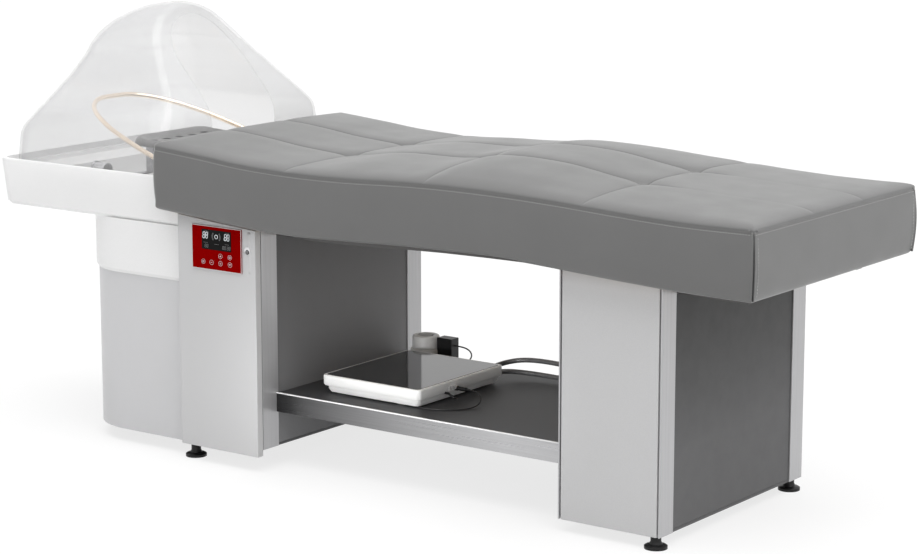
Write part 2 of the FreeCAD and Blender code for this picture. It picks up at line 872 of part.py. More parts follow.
def make_door():
    """The head cabinet's door, hung at its head end, with its hinges and its quarter-turn lock."""
    outline = side_outline("head", "door_bottom", "door_left", "head_right")
    slab = padded_outline("DoorSlab", outline, "-door_front", "door_thick")
    bore = cylinder("lock_bore", ("head_right - lock_inset", "-door_front - overrun", "lock_height"),
                    "lock_radius + pin_clearance", "door_thick + 2 * overrun", "y")
    keep(cut("door_drilled", slab, [bore]), "cabinet_door")
    fixed, moving = [], []
    for number, z in enumerate(("hinge_low", "hinge_high")):
        centre = ("hinge_x", "-hinge_y")
        third = "hinge_length / 3"
        barrel = cylinder("knuckle_%d" % number, centre + (z + " + %s + seat_gap" % third,),
                          "hinge_radius", third + " - 2 * seat_gap")
        leaf = box("leaf_%d" % number, ("hinge_x", "-door_back", z + " + %s + seat_gap" % third),
                   ("hinge_length * 2 / 3", "hinge_leaf", third + " - 2 * seat_gap"))
        bore = cylinder("pin_bore_%d" % number, centre + (z,), "hinge_pin_radius + pin_clearance",
                        "hinge_length")
        joined = fuse("knuckle_joined_%d" % number, [barrel, leaf])
        moving.append(cut("knuckle_leaf_%d" % number, joined, [bore]))
        pin = cylinder("pin_%d" % number, centre + (z,), "hinge_pin_radius", "hinge_length")
        ends = [pin]
        for step, low in enumerate((z, z + " + 2 * " + third)):
            ends.append(cylinder("fixed_%d_%d" % (number, step), centre + (low,), "hinge_radius", third))
            ends.append(box("arm_%d_%d" % (number, step), ("head_left", "-hinge_y - hinge_radius", low),
                            ("hinge_x - head_left", "hinge_y + hinge_radius - side", third)))
        fixed.append(fuse("hinge_fixed_%d" % number, ends))
    keep(group("hinge_fixed_pair", fixed), "hinge_brackets")
    keep(group("hinge_moving_pair", moving), "hinge_knuckles")
    make_lock()


def make_lock():
    cam_y = "panel_thick + post_wall + seat_gap + cam_thick - side"
    body = cylinder("lock_cylinder", ("head_right - lock_inset", "-door_front - lock_proud", "lock_height"),
                    "lock_radius", "door_thick + lock_proud", "y")
    shaft = cylinder("lock_shaft_rod", ("head_right - lock_inset", "-door_back", "lock_height"),
                     "lock_shaft", "door_back + " + cam_y, "y")
    cam = box("lock_cam_plate", ("head_right - lock_inset - cam_width / 2", cam_y + " - cam_thick",
                                 "lock_height - cam_length"), ("cam_width", "cam_thick", "cam_length"))
    keep(fuse("lock_joined", [body, shaft, cam]), "door_lock")


def make_controls():
    front = "-door_front - control_thick"
    panel = box("control_slab", ("control_x", front, "control_bottom"),
                ("control_width", "control_thick", "control_height"))
    pocket = box("display_pocket", ("control_x + display_left - seat_gap", front + " - overrun",
                                    "control_bottom + display_bottom - seat_gap"),
                 ("display_width + 2 * seat_gap", "display_depth + overrun", "display_height + 2 * seat_gap"))
    keep(cut("control_pocketed", panel, [pocket]), "control_panel")
    keep(box("display_slab", ("control_x + display_left", front + " - display_proud",
                              "control_bottom + display_bottom"),
             ("display_width", "display_depth + display_proud", "display_height")), "display_window")
    keys = []
    for number, (along, up) in enumerate(KEY_SHARES):
        centre = ("control_x + %s * control_width" % along, front + " - key_proud",
                  "control_bottom + %s * control_height" % up)
        keys.append(cylinder("key_%d" % number, centre, "key_radius", "key_proud", "y"))
    keep(group("key_group", keys), "touch_keys")
    keep(box("control_case", ("control_x - post_flange", "-door_back", "control_bottom"),
             ("control_box_width", "control_box_depth", "control_box_height")), "control_box")


def plan_wire(x_left, x_right, half, corner_left, corner_right, z):
    """A rounded rectangle seen from above, with one radius at each end."""
    corners = (
        (x_right, -half, corner_right, 1, -1),
        (x_right, half, corner_right, 1, 1),
        (x_left, half, corner_left, -1, 1),
        (x_left, -half, corner_left, -1, -1),
    )
    arcs = []
    for number, (x, y, radius, along, across) in enumerate(corners):
        centre = V(x - along * radius, y - across * radius, z)
        on_end = V(x, y - across * radius, z)
        on_side = V(x - along * radius, y, z)
        slant = radius / math.sqrt(2)
        middle = centre + V(along * slant, across * slant, 0)
        if number in (0, 2):
            arcs.append((on_side, middle, on_end))
        else:
            arcs.append((on_end, middle, on_side))
    edges = []
    for number, points in enumerate(arcs):
        edges.append(arc(*points))
        edges.append(line(points[2], arcs[(number + 1) % 4][0]))
    return Part.Wire(edges)


def tower(levels):
    """A solid through rounded rectangles: (left, right, half, left radius, right radius, height)."""
    return Part.makeLoft([plan_wire(*level) for level in levels], True, True)


def make_tray():
    """The white tray: tapered walls, a rolled rim, a ledge for the hood, a rear deck and a neck wall."""
    left, right, half = size("tray_left"), size("head_left"), size("tray_half")
    bottom, top = size("tray_bottom"), size("tray_bottom") + size("tray_height")
    corner, taper, edge = size("tray_corner"), size("tray_taper"), size("tray_edge")
    end_corner, ledge, over = size("right_corner"), size("ledge_height"), size("overrun")
    roll = edge / 2
    outer = tower([
        (left + taper + edge, right, half - taper - edge, corner - edge, end_corner, bottom),
        (left + taper, right, half - taper, corner, end_corner, bottom + edge),
        (left, right, half, corner, end_corner, top - roll),
        (left + roll / 2, right, half - roll / 2, corner - roll / 2, end_corner, top),
    ])
    wall, lip = size("rim_wall"), size("rim_wall") + size("ledge_width")
    wall_back = size("head_end") - size("mattress_clearance") - size("front_wall")
    wall_front = wall_back + size("front_wall")
    rim_space = tower([
        (left + wall, wall_front, half - wall, corner - wall, over, ledge),
        (left + wall, wall_front, half - wall, corner - wall, over, top + over),
    ])
    deck_edge = left + lip + size("deck_length")
    inner_corner = corner - wall
    low_space = tower([
        (deck_edge, wall_back, half - lip - taper, inner_corner, inner_corner, bottom + size("tray_floor")),
        (deck_edge, wall_back, half - lip, inner_corner, inner_corner, ledge + over),
    ])
    deck_space = tower([
        (left + lip, deck_edge + corner, half - lip, corner - wall, inner_corner, ledge - size("deck_drop")),
        (left + lip, deck_edge + corner, half - lip, corner - wall, inner_corner, ledge + over),
    ])
    under_mattress = underside(size("head_end")) - size("mattress_clearance")
    foot_room = Part.makeBox(right - wall_front + over, 2 * half + 2 * over, top,
                             V(wall_front, -half - over, under_mattress))
    neck = Part.makeBox(size("front_wall") + 2 * over, 2 * size("neck_half"), top,
                        V(wall_back - over, -size("neck_half"), ledge - size("neck_depth")))
    floor_hole = tower([
        (wall_back - size("opening_length"), wall_back, size("opening_half"), size("opening_corner"),
         inner_corner, level) for level in (bottom - over, bottom + size("tray_floor") + over)
    ])
    bore = Part.makeCylinder(size("mixer_radius") + size("pin_clearance"), size("mixer_depth") + over,
                             V(deck_edge - size("mixer_depth"), -size("mixer_y"), mixer_height()), V(1, 0, 0))
    shape = outer
    for space in (rim_space, low_space, deck_space, foot_room, neck, floor_hole, bore):
        shape = shape.cut(space)
    keep(feature("tray_shape", shape), "basin_tray")


def mixer_height():
    return size("ledge_height") - size("deck_drop") - size("mixer_drop")


def mixer_face():
    return size("tray_left") + size("rim_wall") + size("ledge_width") + size("deck_length")


def make_tub():
    left, right = size("head_left") - size("tub_length"), size("head_left")
    half, wall, edge = size("tub_half"), size("tub_wall"), size("tub_edge")
    top, bottom = size("tray_bottom"), size("tray_bottom") - size("tub_height")
    corner, end_corner, over = size("tub_corner"), size("right_corner"), size("overrun")
    outer = tower([
        (left + edge, right, half - edge, corner - edge, end_corner, bottom),
        (left, right, half, corner, end_corner, bottom + 2 * edge),
        (left, right, half, corner, end_corner, top),
    ])
    inner = tower([
        (left + wall, right - wall, half - wall, corner - wall, end_corner - wall, level)
        for level in (bottom + wall, top + over)
    ])
    drain = Part.makeCylinder(size("drain_bore") + size("drain_wall"), wall + 2 * over,
                              V(size("drain_x"), 0, bottom - over))
    inlet = Part.makeCylinder(size("pipe_radius") + size("seat_gap"), 2 * wall,
                              V(right - wall - over, 0, size("supply_height")), V(1, 0, 0))
    keep(feature("tub_shape", outer.cut(inner).cut(drain).cut(inlet)), "basin_tub")


def make_skirt():
    left, right = size("head_left") - size("skirt_length"), size("head_left")
    half, wall, corner = size("skirt_half"), size("skirt_wall"), size("skirt_corner")
    top, over = size("tray_bottom") - size("tub_height"), size("overrun")
    outer = tower([(left, right, half, corner, over, level) for level in (size("skirt_bottom"), top)])
    inner = tower([(left + wall, right + corner, half - wall, corner - wall, over, level)
                   for level in (size("skirt_bottom") - over, top + over)])
    keep(feature("skirt_shape", outer.cut(inner)), "basin_skirt")


def make_drain():
    floor = "tray_bottom - tub_height + tub_wall"
    outer = "drain_bore + drain_wall - seat_gap"
    pipe_bottom = "dark_bottom_head + tank_height + lid_thick"
    outline = [
        ("drain_bore", "-drain_length"),
        (outer, "-drain_length"),
        (outer, "0"),
        ("drain_flange", "0"),
        ("drain_flange", "drain_flange_thick"),
        ("drain_bore", "drain_flange_thick"),
    ]
    keep(turned("DrainBody", outline, "drain_x", "0", floor), "drain_body")
    pipe = [
        ("drain_bore", "0"),
        (outer, "0"),
        (outer, floor + " - drain_length - (%s)" % pipe_bottom),
        ("drain_bore", floor + " - drain_length - (%s)" % pipe_bottom),
    ]
    keep(turned("DrainPipe", pipe, "drain_x", "0", pipe_bottom), "drain_pipe")
    plug = [
        ("0", "-plug_stem_length"),
        ("plug_stem_radius", "-plug_stem_length"),
        ("plug_stem_radius", "drain_flange_thick + seat_gap"),
        ("drain_flange * 4 / 5", "drain_flange_thick + seat_gap"),
        ("drain_flange * 4 / 5", "drain_flange_thick + seat_gap + plug_thick / 2"),
        ("drain_flange * 3 / 5", "drain_flange_thick + seat_gap + plug_thick"),
        ("0", "drain_flange_thick + seat_gap + plug_thick"),
    ]
    keep(turned("DrainPlug", plug, "drain_x", "0", floor), "drain_plug")


def make_tank():
    low = ("tank_right - tank_length", "-tank_half", "dark_bottom_head")
    case = box("tank_case", low, ("tank_length", "2 * tank_half", "tank_height"))
    hollow = box("tank_hollow", ("tank_right - tank_length + tank_wall", "tank_wall - tank_half",
                                 "dark_bottom_head + tank_wall"),
                 ("tank_length - 2 * tank_wall", "2 * (tank_half - tank_wall)", "tank_height"))
    holes = []
    for number, z in enumerate(("dark_bottom_head + heater_height", "dark_bottom_head + pump_height")):
        radius = ("heater_radius + seat_gap", "pipe_radius + seat_gap")[number]
        holes.append(cylinder("tank_hole_%d" % number, ("tank_right - tank_wall - overrun", "0", z), radius,
                              "tank_wall + 2 * overrun", "x"))
    keep(cut("tank_open", case, [hollow] + holes), "water_tank")
    lid = box("lid_slab", ("tank_right - tank_length", "-tank_half", "dark_bottom_head + tank_height"),
              ("tank_length", "2 * tank_half", "lid_thick"))
    hole = cylinder("lid_hole", ("drain_x", "0", "dark_bottom_head + tank_height - overrun"), "drain_bore",
                    "lid_thick + 2 * overrun")
    keep(cut("lid_drilled", lid, [hole]), "tank_lid")
    rod = cylinder("heater_rod", ("tank_right - heater_length", "0", "dark_bottom_head + heater_height"),
                   "heater_radius", "heater_length + heater_radius", "x")
    flange = cylinder("heater_flange_disc", ("tank_right", "0", "dark_bottom_head + heater_height"),
                      "heater_flange", "heater_radius", "x")
    keep(fuse("heater_joined", [rod, flange]), "heating_element")


def make_pump():
    height = "dark_bottom_head + pump_height"
    motor = cylinder("pump_motor", ("pump_x", "0", height), "pump_radius", "pump_length", "x")
    volute = cylinder("pump_volute", ("pump_x - volute_length", "0", height), "volute_radius",
                      "volute_length", "x")
    base = box("pump_foot", ("pump_x - volute_length", "-pump_radius", "dark_bottom_head"),
               ("pump_length + volute_length", "2 * pump_radius", "pump_foot_thick"))
    neck = box("pump_neck", ("pump_x", "-pump_radius / 2", "dark_bottom_head"),
               ("pump_length * 4 / 5", "pump_radius", "pump_height"))
    bolt = cylinder("pump_outlet", ("pump_x - volute_length / 2", "0", height), "pipe_radius + pipe_wall",
                    "volute_radius + pipe_wall")
    keep(fuse("pump_joined", [motor, volute, base, neck, bolt]), "circulation_pump")
    suction = tube_along(
        [V(size("tank_right") - size("tank_wall"), 0, value_of(height)),
         V(value_of("pump_x - volute_length"), 0, value_of(height))],
        size("pipe_radius"), size("pipe_wall"), 0)
    outlet_x = value_of("pump_x - volute_length / 2")
    outlet_z = value_of(height + " + volute_radius + pipe_wall")
    rise = tube_along(
        [V(outlet_x, 0, outlet_z), V(outlet_x, 0, size("supply_height")),
         V(size("head_left") - size("tub_wall"), 0, size("supply_height"))],
        size("pipe_radius"), size("pipe_wall"), size("pipe_bend"))
    keep(feature("pipe_shapes", Part.makeCompound([suction, rise])), "water_pipes")
    stubs = []
    for number in (0, 1):
        x, z = inlet_x(number), "inlet_height"
        start = (x, "side - panel_thick - inlet_inside", z)
        body = cylinder("inlet_body_%d" % number, start, "inlet_radius", "inlet_inside + panel_thick", "y")
        collar = cylinder("inlet_collar_%d" % number, (x, "side", z), "inlet_collar",
                          "inlet_collar_thick", "y")
        tail = cylinder("inlet_tail_%d" % number, (x, "side + inlet_collar_thick", z), "inlet_tail",
                        "inlet_tail_length", "y")
        bore = cylinder("inlet_way_%d" % number, start, "inlet_bore",
                        "inlet_inside + panel_thick + inlet_collar_thick + inlet_tail_length", "y")
        stub = fuse("inlet_joined_%d" % number, [body, collar, tail])
        stubs.append(cut("inlet_stub_%d" % number, stub, [bore]))
    keep(group("inlet_pair", stubs), "hose_fittings")


def arc_path(points, radii):
    """Straight runs joined by tangent arcs: one wire, with the length it has."""
    edges = []
    start = points[0]
    for before, corner, after, radius in zip(points, points[1:], points[2:], radii):
        come = (before - corner).normalize()
        leave = (after - corner).normalize()
        turn = math.pi - come.getAngle(leave)
        reach = radius * math.tan(turn / 2)
        first = corner + come * reach
        last = corner + leave * reach
        inward = (come + leave).normalize()
        middle = corner + inward * (radius / math.cos(turn / 2) - radius)
        edges.append(line(start, first))
        edges.append(arc(first, middle, last))
        start = last
    edges.append(line(start, points[-1]))
    return Part.Wire(edges)


def cord_radii(points):
    """The largest arc at each corner of a cord's route: 0.45 of the shorter run."""
    radii = []
    for before, corner, after in zip(points, points[1:], points[2:]):
        turn = math.pi - (before - corner).getAngle(after - corner)
        shorter = min((before - corner).Length, (after - corner).Length)
        radii.append(0.45 * shorter / math.tan(turn / 2))
    return radii


def pipe_solid(path, radius):
    start = path.Vertexes[0].Point
    direction = path.Edges[0].tangentAt(path.Edges[0].FirstParameter)
    ring = Part.Wire([Part.Circle(start, direction, radius).toShape()])
    return path.makePipeShell([ring], True, False)


def tube_along(points, radius, wall, bend):
    path = arc_path(points, [bend] * (len(points) - 2))
    solid = pipe_solid(path, radius)
    if wall:
        solid = solid.cut(pipe_solid(path, radius - wall))
    return solid


def cord_along(name, route, radius, wall=0):
    points = [V(*point) for point in route]
    radii = cord_radii(points)
    path = arc_path(points, radii)
    solid = pipe_solid(path, radius)
    expected = math.pi * radius ** 2 * path.Length
    print(name, "length %.1f" % path.Length, "volume ratio %.4f" % (solid.Volume / expected),
          "radii", " ".join("%.0f" % value for value in radii))
    if wall:
        solid = solid.cut(pipe_solid(path, radius - wall))
    return solid


def hood_level(row, inset, drop):
    """One level of the hood: a rounded rectangle set in from the base at the rear, front and sides."""
    up, rear, front, wide = row
    left = size("head_end") - size("hood_setback") - size("hood_length")
    right = size("head_end") - size("hood_setback")
    x_left = left + rear * size("hood_length") + inset
    x_right = right - front * size("hood_length") - inset
    half = wide * size("hood_half") - inset
    room = 0.92 * min(half, (x_right - x_left) / 2)
    corner_left = min(size("hood_corner") - inset, room)
    corner_right = min(size("hood_front_corner") - inset, room)
    z = size("ledge_height") + up * size("hood_height") - drop * up
    return (x_left, x_right, half, corner_left, corner_right, z)


def hood_levels(inset, drop):
    """All the hood's levels, with a small step at each moulded rib."""
    levels = []
    step = size("hood_step") / size("hood_half")
    rise = size("hood_step") / size("hood_height")
    for row in HOOD_SHARES:
        up, rear, front, wide = row
        if up in HOOD_RIB_SHARES:
            below = (up - rise, rear - step / 2, front - step / 4, wide + step / 2)
            above = (up, rear + step / 2, front + step / 4, wide - step / 2)
            levels.append(hood_level(below, inset, drop))
            levels.append(hood_level(above, inset, drop))
        else:
            levels.append(hood_level(row, inset, drop))
    return levels


def make_hood():
    wall, over = size("hood_wall"), size("overrun")
    gap = size("seat_gap")
    outer = tower(hood_levels(0, 0))
    inner_levels = hood_levels(wall, wall)
    first = inner_levels[0]
    inner = tower([first[:5] + (first[5] - over,)] + inner_levels[1:])
    front = size("head_end") - size("hood_setback")
    reach = size("hood_length") / 2
    base = size("ledge_height")
    door = Part.makeBox(reach, 2 * size("mouth_radius"), size("mouth_height") + over,
                        V(front - reach + over, -size("mouth_radius"), base - over))
    round_top = Part.makeCylinder(size("mouth_radius"), reach,
                                  V(front - reach + over, 0, base + size("mouth_height")), V(1, 0, 0))
    shape = outer.cut(inner).cut(door.fuse(round_top))
    shape.translate(V(0, 0, gap))
    keep(feature("hood_shape", shape), "hood")


def arch_points():
    """The water arch's centre line in its own plane, from one pivot round to the other."""
    near = []
    for along, wide in ARCH_SHARES:
        near.append((along * size("arch_length"), wide * size("arch_half")))
    outline = [(along, -wide) for along, wide in near] + [(along, wide) for along, wide in reversed(near)]
    tilt = math.radians(size("arch_tilt"))
    x0, z0 = arch_pivot()
    return [V(x0 - along * math.cos(tilt), wide, z0 + along * math.sin(tilt)) for along, wide in outline]


def arch_pivot():
    x = size("head_end") - size("hood_setback") - size("arch_setback")
    return x, size("ledge_height") + size("arch_height")


def make_arch():
    points = arch_points()
    path = arc_path(points, cord_radii(points))
    tube = pipe_solid(path, size("arch_radius")).cut(pipe_solid(path, size("arch_bore")))
    x, z = arch_pivot()
    half, radius, length = size("arch_half"), size("swivel_radius"), size("swivel_length")
    hubs, fixed = [], []
    pin = radius / 2
    for sign in (-1, 1):
        centre = V(x, sign * (half - length / 2), z)
        hub = Part.makeCylinder(radius, length, centre, V(0, sign, 0))
        bore = Part.makeCylinder(pin + size("pin_clearance"), length / 2, centre, V(0, sign, 0))
        bore.translate(V(0, sign * length / 2, 0))
        hubs.append(hub.cut(bore))
        outer_y = half + length / 2
        stand = Part.makeBox(2 * radius + length / 4, length / 2, size("arch_height") + radius,
                             V(x - radius, min(sign * (outer_y + size("seat_gap")),
                                               sign * (outer_y + size("seat_gap") + length / 2)),
                               size("ledge_height")))
        foot_y = sorted((sign * (outer_y + size("seat_gap")), sign * (size("tray_half") - size("rim_wall")
                                                                     - size("ledge_width") / 2 - length)))
        arm = Part.makeBox(2 * radius + length / 4, foot_y[1] - foot_y[0], length / 4,
                           V(x - radius, foot_y[0], size("ledge_height")))
        peg = Part.makeCylinder(pin, length / 2 + size("seat_gap"), V(x, sign * half, z), V(0, sign, 0))
        fixed.append(stand.fuse(arm).fuse(peg))
    shape = tube.fuse(hubs[0]).fuse(hubs[1])
    for sign in (-1, 1):
        bore = Part.makeCylinder(pin + size("pin_clearance"), length / 2 + size("overrun"),
                                 V(x, sign * half, z), V(0, sign, 0))
        shape = shape.cut(bore)
    keep(feature("arch_shape", shape), "water_arch")
    keep(feature("swivel_shapes", Part.makeCompound(fixed)), "arch_swivels")


def make_head_rest():
    """The perforated head rest: a rubber pad with a raised rear rim, on a steel bracket in the tray."""
    back = size("head_end") - size("hood_setback") - size("rest_gap")
    left, right, half = back - size("rest_length"), back, size("rest_half")
    top, low = size("rest_top"), size("rest_top") - size("rest_thick")
    corner, edge = size("rest_corner"), size("rest_edge")
    pad = tower([
        (left + edge / 2, right - edge / 2, half - edge / 2, corner - edge / 2, corner - edge / 2, low),
        (left, right, half, corner, corner, low + edge),
        (left, right, half, corner, corner, top - edge * 1.5),
        (left + edge / 2, right - edge / 2, half - edge / 2, corner - edge / 2, corner - edge / 2,
         top - edge / 3),
        (left + edge * 1.5, right - edge * 1.5, half - edge * 1.5, corner - edge, corner - edge, top),
    ])
    reach = half * 0.6
    radius = (reach ** 2 + size("rest_dish") ** 2) / (2 * size("rest_dish"))
    dish = Part.makeCylinder(radius, right - left, V(left, 0, top - size("rest_dish") + radius), V(1, 0, 0))
    seat, slope = top - size("rest_rim_drop"), size("rest_rim_slope")
    start = left + size("rest_rim") + slope
    recess = Part.makeBox(right - start + size("overrun"), 2 * half, size("rest_thick"), V(start, -half, seat))
    roll = Part.makeCylinder(slope, 2 * half, V(start, -half, seat + slope), V(0, 1, 0))
    shape = pad.cut(dish).cut(recess.fuse(roll))
    pitch = size("rest_hole_spacing")
    for row in range(3):
        x = left + size("rest_rear_margin") + row * size("rest_row_spacing")
        for step in range(-2, 3 - row % 2):
            y = (step + 0.5 * (row % 2)) * pitch
            shape = shape.cut(Part.makeCylinder(size("rest_hole"), 2 * size("rest_thick"),
                                                V(x, y, low - edge)))
    keep(feature("rest_shape", shape), "head_rest")
    strip, wall, out = size("bracket_strip"), size("bracket_wall"), size("bracket_half")
    floor = size("tray_bottom") + size("tray_floor")
    under = low - size("seat_gap")
    neck, shoulder = size("bracket_neck"), size("bracket_shoulder")
    pieces = []
    for x in (left + 2 * strip, right - 3 * strip):
        bridge = Part.makeBox(strip, 2 * out, shoulder, V(x, -out, floor)).fuse(
            Part.makeBox(strip, 2 * neck, under - floor, V(x, -neck, floor)))
        space = Part.makeBox(strip, 2 * (out - wall), shoulder, V(x, wall - out, floor - wall)).fuse(
            Part.makeBox(strip, 2 * (neck - wall), under - floor, V(x, wall - neck, floor - wall)))
        pieces.append(bridge.cut(space))
    for sign in (-1, 1):
        y = sign * half / 2
        pieces.append(Part.makeBox(right - left - 5 * strip, strip, wall,
                                   V(left + 2 * strip, y - strip / 2, under - wall)))
    shape = pieces[0]
    for piece in pieces[1:]:
        shape = shape.fuse(piece)
    keep(feature("bracket_shape", shape), "head_rest_bracket")


def make_mixer():
    x, y, z = mixer_face(), -size("mixer_y"), mixer_height()
    flange_thick = size("rim_wall") / 3
    body = Part.makeCylinder(size("mixer_radius"), size("mixer_depth"), V(x - size("mixer_depth"), y, z),
                             V(1, 0, 0))
    flange = Part.makeCylinder(size("mixer_flange"), flange_thick, V(x, y, z), V(1, 0, 0))
    pin = size("mixer_radius") / 3
    stem = Part.makeCylinder(pin, size("knob_length") / 2, V(x + flange_thick, y, z), V(1, 0, 0))
    keep(feature("mixer_shape", body.fuse(flange).fuse(stem)), "mixer_valve")
    start = x + flange_thick + size("seat_gap")
    knob = Part.makeCylinder(size("knob_radius"), size("knob_length"), V(start, y, z), V(1, 0, 0))
    bore = Part.makeCylinder(pin + size("pin_clearance"), size("knob_length") / 2 + size("seat_gap"),
                             V(start, y, z), V(1, 0, 0))
    knob = knob.cut(bore)
    groove = size("knob_radius") / 8
    for step in range(8):
        angle = math.radians(step * 45)
        centre = V(start - size("overrun"), y + size("knob_radius") * math.cos(angle),
                   z + size("knob_radius") * math.sin(angle))
        knob = knob.cut(Part.makeCylinder(groove, size("knob_length") * 0.8, centre, V(1, 0, 0)))
    keep(feature("knob_shape", knob), "mixer_knob")


def make_unit():
    """The flat white unit on the shelf: a stepped case on four feet with a dark glass top."""
    left, right = size("unit_left"), size("unit_right")
    near, far = size("unit_near"), size("unit_far")
    shelf, top = size("shelf_height"), size("unit_top")
    step, corner, split = size("unit_step"), size("unit_corner"), size("unit_top") - size("unit_upper")
    middle_y, half = (near + far) / 2, (far - near) / 2
    low = tower([
        (left + step * 1.5, right - step * 1.5, half - step * 1.5, corner, corner, shelf + size("unit_foot")),
        (left + step, right - step, half - step, corner, corner, shelf + size("unit_foot") + step),
        (left + step, right - step, half - step, corner, corner, split),
    ])
    high = tower([
        (left + step / 4, right - step / 4, half - step / 4, corner, corner, split),
        (left, right, half, corner, corner, split + step / 2),
        (left, right, half, corner, corner, top - step / 4),
        (left + step / 4, right - step / 4, half - step / 4, corner - step / 4, corner - step / 4, top),
    ])
    inset, thick, gap = size("glass_inset"), size("glass_thick"), size("seat_gap")
    recess = tower([(left + inset - gap, right - inset + gap, half - inset + gap, corner - inset / 2,
                     corner - inset / 2, level) for level in (top - thick, top + size("overrun"))])
    case = low.fuse(high).cut(recess)
    for x in (left + 3 * corner, right - 3 * corner):
        for y in (-half + 3 * corner, half - 3 * corner):
            case = case.fuse(Part.makeCylinder(size("unit_foot_radius"), size("unit_foot"), V(x, y, shelf)))
    glass = tower([(left + inset, right - inset, half - inset, corner - inset / 2, corner - inset / 2, level)
                   for level in (top - thick, top + size("glass_proud"))])
    gland_x, gland_y, gland_z = CABLE_ROUTE[-1]
    gland_bottom = shelf + size("unit_foot") - size("gland_height") + size("seat_gap")
    gland = Part.makeBox(size("gland_length"), size("gland_width"), size("gland_height"),
                         V(gland_x - size("gland_length"), gland_y - size("gland_width") / 2 - middle_y,
                           gland_bottom))
    case = case.fuse(gland)
    case.translate(V(0, middle_y, 0))
    glass.translate(V(0, middle_y, 0))
    keep(feature("unit_shape", case), "unit_case")
    keep(feature("glass_shape", glass), "unit_glass")
    make_unit_plug()


def make_unit_plug():
    y = "unit_near + socket_from_near"
    z = "shelf_height + socket_height"
    keep(cylinder("socket_ring", ("unit_right", y, z), "socket_radius", "socket_length", "x"), "unit_socket")
    body = cylinder("plug_body", ("unit_right + socket_length", y, z), "barrel_radius",
                    "barrel_length * 3 / 4", "x")
    tail = cylinder("plug_tail", ("unit_right + socket_length + barrel_length * 3 / 4", y, z),
                    "barrel_radius / 2", "barrel_length / 4", "x")
    keep(fuse("plug_joined", [body, tail]), "unit_plug")
    keep(feature("cable_shape", cord_along("unit_cable", CABLE_ROUTE, size("cable_radius"))), "unit_cable")


def make_air_supply():
    shelf = "shelf_height"
    case = cylinder("blower_case", ("pump_case_x", "pump_case_y", shelf), "pump_case_radius",
                    "pump_case_height")
    rim = cylinder("blower_groove", ("pump_case_x", "pump_case_y", "shelf_height + pump_case_height * 3 / 4"),
                   "pump_case_radius + overrun", "pump_case_height / 20")
    core = cylinder("blower_core", ("pump_case_x", "pump_case_y", "shelf_height + pump_case_height * 3 / 4"),
                    "pump_case_radius - hose_wall", "pump_case_height / 20")
    ring = cut("blower_ring", rim, [core])
    keep(cut("blower_grooved", case, [ring]), "air_pump")
    adapter = box("adapter_case", ("adapter_x", "adapter_y", shelf),
                  ("adapter_width", "adapter_depth", "adapter_height"))
    keep(adapter, "power_adapter")
    keep(feature("lead_shape", cord_along("adapter_lead", LEAD_ROUTE, size("lead_radius"))), "adapter_lead")
    hoses = [cord_along("air_hose", route, size("hose_radius"), size("hose_wall")) for route in HOSE_ROUTES]
    keep(feature("hose_shapes", Part.makeCompound(hoses)), "air_hoses")
    x, width, depth = size("clip_x"), size("clip_width"), size("clip_depth")
    high, low = [next(point for point in route if point[0] == x) for route in HOSE_ROUTES]
    shape = Part.makeBox(width, depth, high[2] + 2 * size("hose_radius") - size("shelf_height"),
                         V(x - width / 2, (high[1] + low[1]) / 2 - depth / 2, size("shelf_height")))
    bore = size("hose_radius") + size("seat_gap") / 2
    for hose in hoses:
        shape = shape.cut(hose)
    for route in HOSE_ROUTES:
        points = [V(*point) for point in route]
        shape = shape.cut(pipe_solid(arc_path(points, cord_radii(points)), bore))
    keep(feature("clip_shape", shape), "hose_clip")


def make_screws():
    """Panel screws: round heads on the side panels near their posts."""
    heads = []
    along = (
        ("foot_left", 1, "foot_cabinet_base", "foot_top_left"),
        ("foot_right", -1, "foot_cabinet_base", "foot_top_right"),
        ("head_left", 1, "head_cabinet_base", "head_top_left"),
        ("head_right", -1, "head_cabinet_base", "head_top_right"),
    )
    for number, (edge, inward, base, top) in enumerate(along):
        x = "%s %s (post_wall + panel_seam + post_flange / 3)" % (edge, "+" if inward > 0 else "-")
        for step, share in enumerate(("0.1", "0.5", "0.9")):
            z = "%s + (%s - %s) * %s" % (base, top, base, share)
            heads.append(cylinder("screw_%d_%d" % (number, step), (x, "side", z), "screw_radius",
                                  "screw_head", "y"))
    keep(group("screw_group", heads), "panel_screws")


def build():
    fill_sheet()
    make_mattress()
    make_rails()
    make_posts()
    make_cabinet_panels()
    make_base_plates()
    make_feet()
    make_shelf()
    make_door()
    make_controls()
    make_tray()
    make_tub()
    make_skirt()
    make_drain()
    make_tank()
    make_pump()
    make_hood()
    make_arch()
    make_head_rest()
    make_mixer()
    make_unit()
    make_air_supply()
    make_screws()
    doc.recompute()


def check():
    for item in doc.Objects:
        if "Invalid" in item.State or "Error" in item.State:
            raise RuntimeError("failed object: %s %s" % (item.Label, item.State))
    for item in parts:
        if item.Shape.isNull() or not item.Shape.isValid():
            raise RuntimeError("bad shape: " + item.Label)
        if not item.Shape.Solids:
            raise RuntimeError("no solid: " + item.Label)


build()
check()
os.makedirs("parts", exist_ok=True)
for item in parts:
    item.Shape.exportStep("parts/%s.step" % item.Label)
print(len(parts), "parts")
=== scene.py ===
import math
import random
from functools import cache

